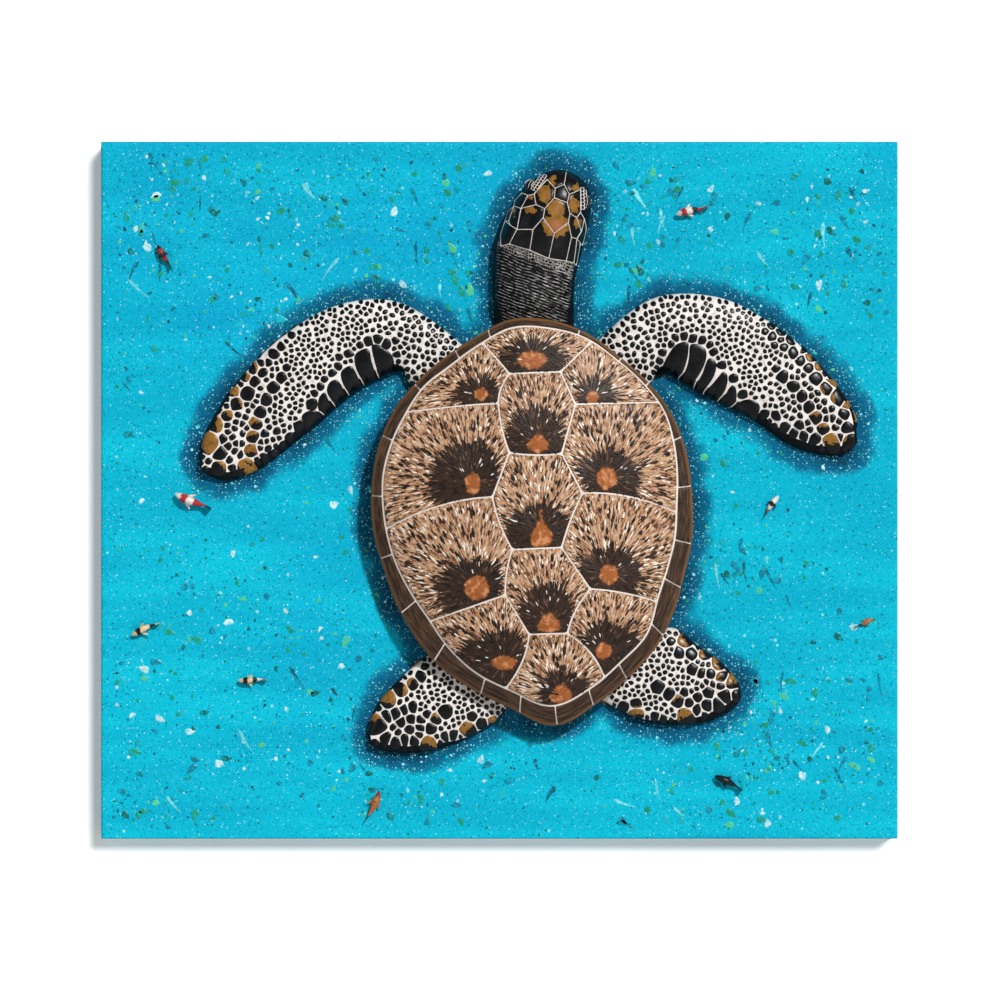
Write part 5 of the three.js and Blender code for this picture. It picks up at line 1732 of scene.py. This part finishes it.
LID_RADIUS = 3.85
LID_OPEN = 0.42  # how far a lid is tilted back from the middle of the eye
EYES = {"left": Vector((-0.84, 0.18, 0.5)), "right": Vector((0.86, -0.05, 0.5))}  # which way each looks
lids = bmesh.new()
lid_line = lids.verts.layers.float.new("lid_line")
for side, outwards in EYES.items():
    dress("eye_" + side, eye_gloss)
    low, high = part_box("eye_" + side)
    middle = (low + high) / 2
    gaze = Vector((outwards.x, -outwards.z, outwards.y)).normalized()
    forward = gaze.cross(Vector((0, -1, 0))).normalized()
    opening = forward.cross(gaze).normalized()
    for sign in (-1, 1):
        tilt = (opening * sign - gaze * LID_OPEN).normalized()
        cap = bmesh.new()
        bmesh.ops.create_uvsphere(cap, u_segments=36, v_segments=24, radius=LID_RADIUS * MM)
        cut = bmesh.ops.bisect_plane(cap, geom=cap.verts[:] + cap.edges[:] + cap.faces[:],
                                     plane_co=(0, 0, 0), plane_no=tilt, clear_inner=True)
        rim_edges = [item for item in cut["geom_cut"] if isinstance(item, bmesh.types.BMEdge)]
        bmesh.ops.edgeloop_fill(cap, edges=rim_edges)
        bmesh.ops.recalc_face_normals(cap, faces=cap.faces[:])
        bmesh.ops.translate(cap, verts=cap.verts[:], vec=middle)
        lid = bpy.data.meshes.new("lid")
        cap.to_mesh(lid)
        cap.free()
        known = set(lids.verts)
        lids.from_mesh(lid)
        bpy.data.meshes.remove(lid)
        for vert in set(lids.verts) - known:
            vert[lid_line] = (vert.co - middle).dot(tilt) / MM

lid_paint, coords, shader = new_material("lid_paint", 0.2)
waved = waves(reckon("ADD", from_mesh(coords, "lid_line"), mottle(coords, 350, 3)), 1.2)
base = layered(SCALE_BLACK, (waved, 0.7, 0.85, WRINKLE_WHITE))
finish_paint(coords, shader, base, rough=(0.3, 0.25), relief=0.00008)
eyelids = new_piece("eyelids", lids, lid_paint)
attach(eyelids, "root")

# ---------------------------------------------------------------- fish
# Nine little fish figures of painted resin, glued on by their bellies and seen from above. Each
# has an upright tail and two side fins.

MAROON, REDDISH, NAVY = paint(46, 24, 28), paint(150, 52, 46), paint(18, 26, 34)
FISH_RED, FISH_WHITE, FISH_CREAM = paint(186, 50, 54), paint(236, 228, 220), paint(226, 200, 156)
FISH_BLACK, FISH_ORANGE, FISH_BROWN = paint(20, 18, 18), paint(200, 104, 50), paint(176, 112, 62)
FISH = [  # middle, which way it heads in degrees, length, and the colours of its bands from the nose
    ((-171, 118.8), 119, 14, (MAROON, REDDISH, MAROON, REDDISH, MAROON, MAROON)),
    ((98.2, 142.8), 196, 17, (FISH_WHITE, FISH_RED, FISH_WHITE, MAROON, FISH_RED, FISH_RED)),
    ((-156.2, -6), 155, 20, (FISH_WHITE, FISH_RED, FISH_WHITE, FISH_RED, FISH_RED, FISH_BLACK)),
    ((138.4, -8), 53, 13, (FISH_WHITE, FISH_WHITE, MAROON, FISH_WHITE, REDDISH, FISH_BLACK)),
    ((-180.4, -70.6), 205, 15.5, (FISH_CREAM, FISH_BLACK, FISH_CREAM, FISH_CREAM, FISH_BLACK, FISH_CREAM)),
    ((-125.8, -97), 180, 14.5, (FISH_CREAM, FISH_BLACK, FISH_CREAM, FISH_BLACK, FISH_WHITE, FISH_ORANGE)),
    ((186, -67.6), 27, 9.5, (FISH_ORANGE, FISH_ORANGE, FISH_BROWN, FISH_ORANGE, FISH_BLACK, FISH_BLACK)),
    ((-64.2, -161), 67, 16, (REDDISH, FISH_BROWN, FISH_BROWN, FISH_ORANGE, FISH_ORANGE, NAVY)),
    ((117, -149), 155, 16, (NAVY, NAVY, FISH_BLACK, NAVY, NAVY, FISH_BLACK)),
]
# Along a fish: part of its length, half its width and half its height as shares of the length.
FISH_SHAPE = [
    (0, 0.02, 0.03), (0.06, 0.06, 0.08), (0.16, 0.1, 0.13), (0.3, 0.125, 0.165), (0.45, 0.115, 0.16),
    (0.6, 0.08, 0.11), (0.72, 0.045, 0.06), (0.8, 0.032, 0.075), (0.9, 0.024, 0.14), (1, 0.014, 0.17),
]
FISH_BELLY = 0.155  # how high its middle line is, as a share of its length
FISH_STATIONS, FIN_STATIONS, FISH_AROUND = 36, 8, 14


def oval(middle, reach, height, half_height):
    """A ring round a middle, as wide as the reach to each side."""
    turns = [2 * math.pi * k / FISH_AROUND for k in range(FISH_AROUND)]
    return [(*(middle + reach * math.cos(turn)), PANEL_DEPTH + height + half_height * math.sin(turn))
            for turn in turns]


fish = bmesh.new()
made = fish.verts.layers.int.new("made")
fish_tint = fish.verts.layers.float_color.new("tint")
parts_along, widths, heights = zip(*FISH_SHAPE)
for place, heading, length, bands in FISH:
    forward = pointing(heading)
    aside = left_of(forward)
    nose = Vector(place) + forward * length / 2
    belly = length * FISH_BELLY
    body, fins = [], {-1: [], 1: []}
    for station in range(FISH_STATIONS + 1):
        t = station / FISH_STATIONS
        bend = 0.05 * length * math.sin(t * math.pi * 1.3 + length)
        middle = nose - forward * length * t + aside * bend * t
        wide, high = numpy.interp(t, parts_along, widths), numpy.interp(t, parts_along, heights)
        body.append(oval(middle, aside * wide * length, belly, high * length))
    for side, fin in fins.items():
        for station in range(FIN_STATIONS + 1):
            t = station / FIN_STATIONS
            root = nose - forward * length * (0.34 + 0.16 * t) + aside * side * length * (0.08 + 0.13 * t)
            half = length * 0.055 * math.sin(math.pi * (0.15 + 0.8 * t))
            fin.append(oval(root, forward * half, belly * 0.9, length * 0.018))
    for rings in (body, *fins.values()):
        closed_skin(ends_closed(rings), fish)
    for vert, place, _ in newly_made(fish, made):
        behind_nose = (nose - place).dot(forward) / length + 0.02 * math.sin(place.x * 7 + place.y * 5)
        band = min(int(max(behind_nose, 0) * len(bands)), len(bands) - 1)
        vert[fish_tint] = bands[band]

fish_paint, coords, shader = new_material("fish_paint", 0.3)
worn = reckon("MULTIPLY", rise(mottle(coords, 700, 2), 0.5, 0.75), 0.5)
base = blended(worn, from_mesh(coords, "tint", "Color"), FISH_BLACK)
finish_paint(coords, shader, base, marks=1300, rough=(0.25, 0.2))
fish = new_piece("fish", fish, fish_paint)
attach(fish, "root")

# ---------------------------------------------------------------- halo and spatter
# A dark blue shade is brushed and sprayed round the turtle before it is glued on, and drops of
# white, turquoise and green are flicked over the whole cloth, thickest near the turtle.

HALO_SOLID, HALO_FADE = 2.5, 11
turtle_edge = [array_of(shell_ring(0, 0))[:, :2]]
turtle_edge += [line for lines in edge_lines.values() for line in lines]
turtle_edge += [array_of(along_line(side, k / 80) for k in range(81)) for side in head_sides]
turtle_edge = numpy.concatenate(turtle_edge)


def halo_at(places):
    """How deep the halo is at places on the canvas: 1 by the turtle and 0 beyond the halo."""
    nearest = numpy.full(len(places), 1e9)
    for start in range(0, len(turtle_edge), 100):
        part = turtle_edge[start:start + 100]
        away = numpy.hypot(places[:, None, 0] - part[None, :, 0], places[:, None, 1] - part[None, :, 1])
        nearest = numpy.minimum(nearest, away.min(axis=1))
    return numpy.clip(1 - (nearest - HALO_SOLID) / HALO_FADE, 0, 1)


points = numpy.empty(len(canvas.data.vertices) * 3)
canvas.data.vertices.foreach_get("co", points)
points = points.reshape(-1, 3) / MM
halo = halo_at(numpy.column_stack((points[:, 0], points[:, 2] - PANEL_MIDDLE)))
canvas.data.attributes.new("halo", "FLOAT", "POINT").data.foreach_set("value", halo.astype(numpy.float32))

WHITE_DROP, PALE_DROP, SKY_DROP = paint(212, 238, 238), paint(136, 228, 232), paint(20, 180, 190)
TEAL_DROP, DARK_TEAL, INK = paint(0, 116, 138), paint(4, 74, 96), paint(4, 40, 40)
GREEN_DROP, LIME_DROP, PINE_DROP = paint(22, 144, 84), paint(92, 204, 120), paint(6, 84, 52)
# Each lot: its share of the drops, the least and greatest radius, its colours, and the shapes.
DROP_LOTS = [
    (0.52, 0.25, 0.5, (PALE_DROP, PALE_DROP, WHITE_DROP, TEAL_DROP, DARK_TEAL, INK, INK, GREEN_DROP),
     "round"),
    (0.32, 0.5, 1.0, (WHITE_DROP, PALE_DROP, SKY_DROP, TEAL_DROP, DARK_TEAL, INK, GREEN_DROP, GREEN_DROP,
                      PINE_DROP, LIME_DROP), "round blot tail"),
    (0.135, 1.0, 2.1, (WHITE_DROP, SKY_DROP, TEAL_DROP, TEAL_DROP, GREEN_DROP, GREEN_DROP, GREEN_DROP,
                      LIME_DROP, PINE_DROP), "blot blot tail"),
    (0.025, 1.0, 1.7, (PALE_DROP, DARK_TEAL, TEAL_DROP, DARK_TEAL, TEAL_DROP), "run"),
]
# Each shape: sides, lobes, how deep they are, how far its tail reaches, and its stretch.
DROP_SHAPES = {
    "round": (10, 2, 0.08, 0, 1.15), "blot": (24, 3, 0.1, 0.2, 1.25), "tail": (20, 3, 0.08, 1.1, 1.1),
    "run": (30, 2, 0.1, 3.2, 1.8),
}
DROPS = 3000
DROP_MARGIN = 6  # from the panel's edge
LEAST_HEIGHT, MOST_HEIGHT, SUNK = 0.1, 0.24, 0.04  # of a drop
solid_tops = [*flipper_tops.values(), head_top, scute_tops]


def on_turtle(place):
    degrees, reach = angle_and_reach(place)
    return reach < shell_radius(degrees) + 0.5 or any(straight_on(tops, place)[0] for tops in solid_tops)


def drop_shape(sides, lobes, depth, tail):
    """A flat drop a unit wide, with a lobed edge, and a tail that narrows to one side."""
    mesh = bmesh.new()
    bmesh.ops.create_cone(mesh, cap_ends=True, segments=sides, radius1=0.5, radius2=0.36, depth=1)
    for vert in mesh.verts:
        angle = math.atan2(vert.co.y, vert.co.x)
        wave = 1 + depth * (math.sin(lobes * angle) + 0.5 * math.sin((lobes + 2) * angle + 1))
        vert.co = Vector((vert.co.x * wave, vert.co.y * wave, vert.co.z + 0.5))
        if vert.co.x > 0:
            vert.co.y *= 1 - 0.75 * min(tail, 1) * vert.co.x
            vert.co.x *= 1 + tail
            vert.co.y += 0.06 * tail * vert.co.x ** 2
    return mesh


random.seed(21)
drops = {shape: [] for shape in DROP_SHAPES}
for _ in range(DROPS * 5):
    if sum(len(lot) for lot in drops.values()) >= DROPS:
        break
    place = Vector([random.uniform(DROP_MARGIN, size - DROP_MARGIN) - size / 2
                    for size in (PANEL_WIDTH, PANEL_HEIGHT)])
    shade = halo_at(array_of([place]))[0]
    cloud = noise.noise(Vector((place.x * 0.016, place.y * 0.02, 3.3)))
    if random.random() > 0.4 + 0.9 * cloud + 0.25 * shade or on_turtle(place):
        continue
    pick = random.random()
    for share, smallest, largest, tints, shapes in DROP_LOTS:
        if pick < share:
            break
        pick -= share
    if shade > 0.5 and largest > 1:
        continue
    radius = random.uniform(smallest, largest)
    shape = random.choice(shapes.split())
    stretch = random.uniform(1, DROP_SHAPES[shape][4])
    turn = random.gauss(-math.pi / 2, 0.5) if shape == "run" else random.uniform(0, 2 * math.pi)
    along, across = Vector((math.cos(turn), 0, math.sin(turn))), Vector((-math.sin(turn), 0, math.cos(turn)))
    outwards = Vector((0, -1, 0)) * min(LEAST_HEIGHT + radius * 0.1, MOST_HEIGHT)
    axes = (along * radius * 2 * stretch * MM, across * radius * 2 / stretch * MM, outwards * MM)
    drops[shape].append((on_panel(*place, PANEL_DEPTH - SUNK), axes, varied(random.choice(tints))))

spatter_paint, coords, shader = new_material("spatter_paint", 0.3)
pooled = scaled(rise(mottle(coords, 650, 2), 0.46, 0.6), 0.5, 0.12)
base = blended(pooled, from_mesh(coords, "tint", "Color"), SEA)
finish_paint(coords, shader, base, marks=1200, rough=(0.25, 0.2), relief=0.00004)
for shape, placings in drops.items():
    piece = scattered("spatter_" + shape, drop_shape(*DROP_SHAPES[shape][:4]), placings, spatter_paint)

# ---------------------------------------------------------------- sizes
# The CAD model's box and this model's box, side by side.

visual_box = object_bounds()
[[list(corner) for corner in box] for box in (cad_box, visual_box)]
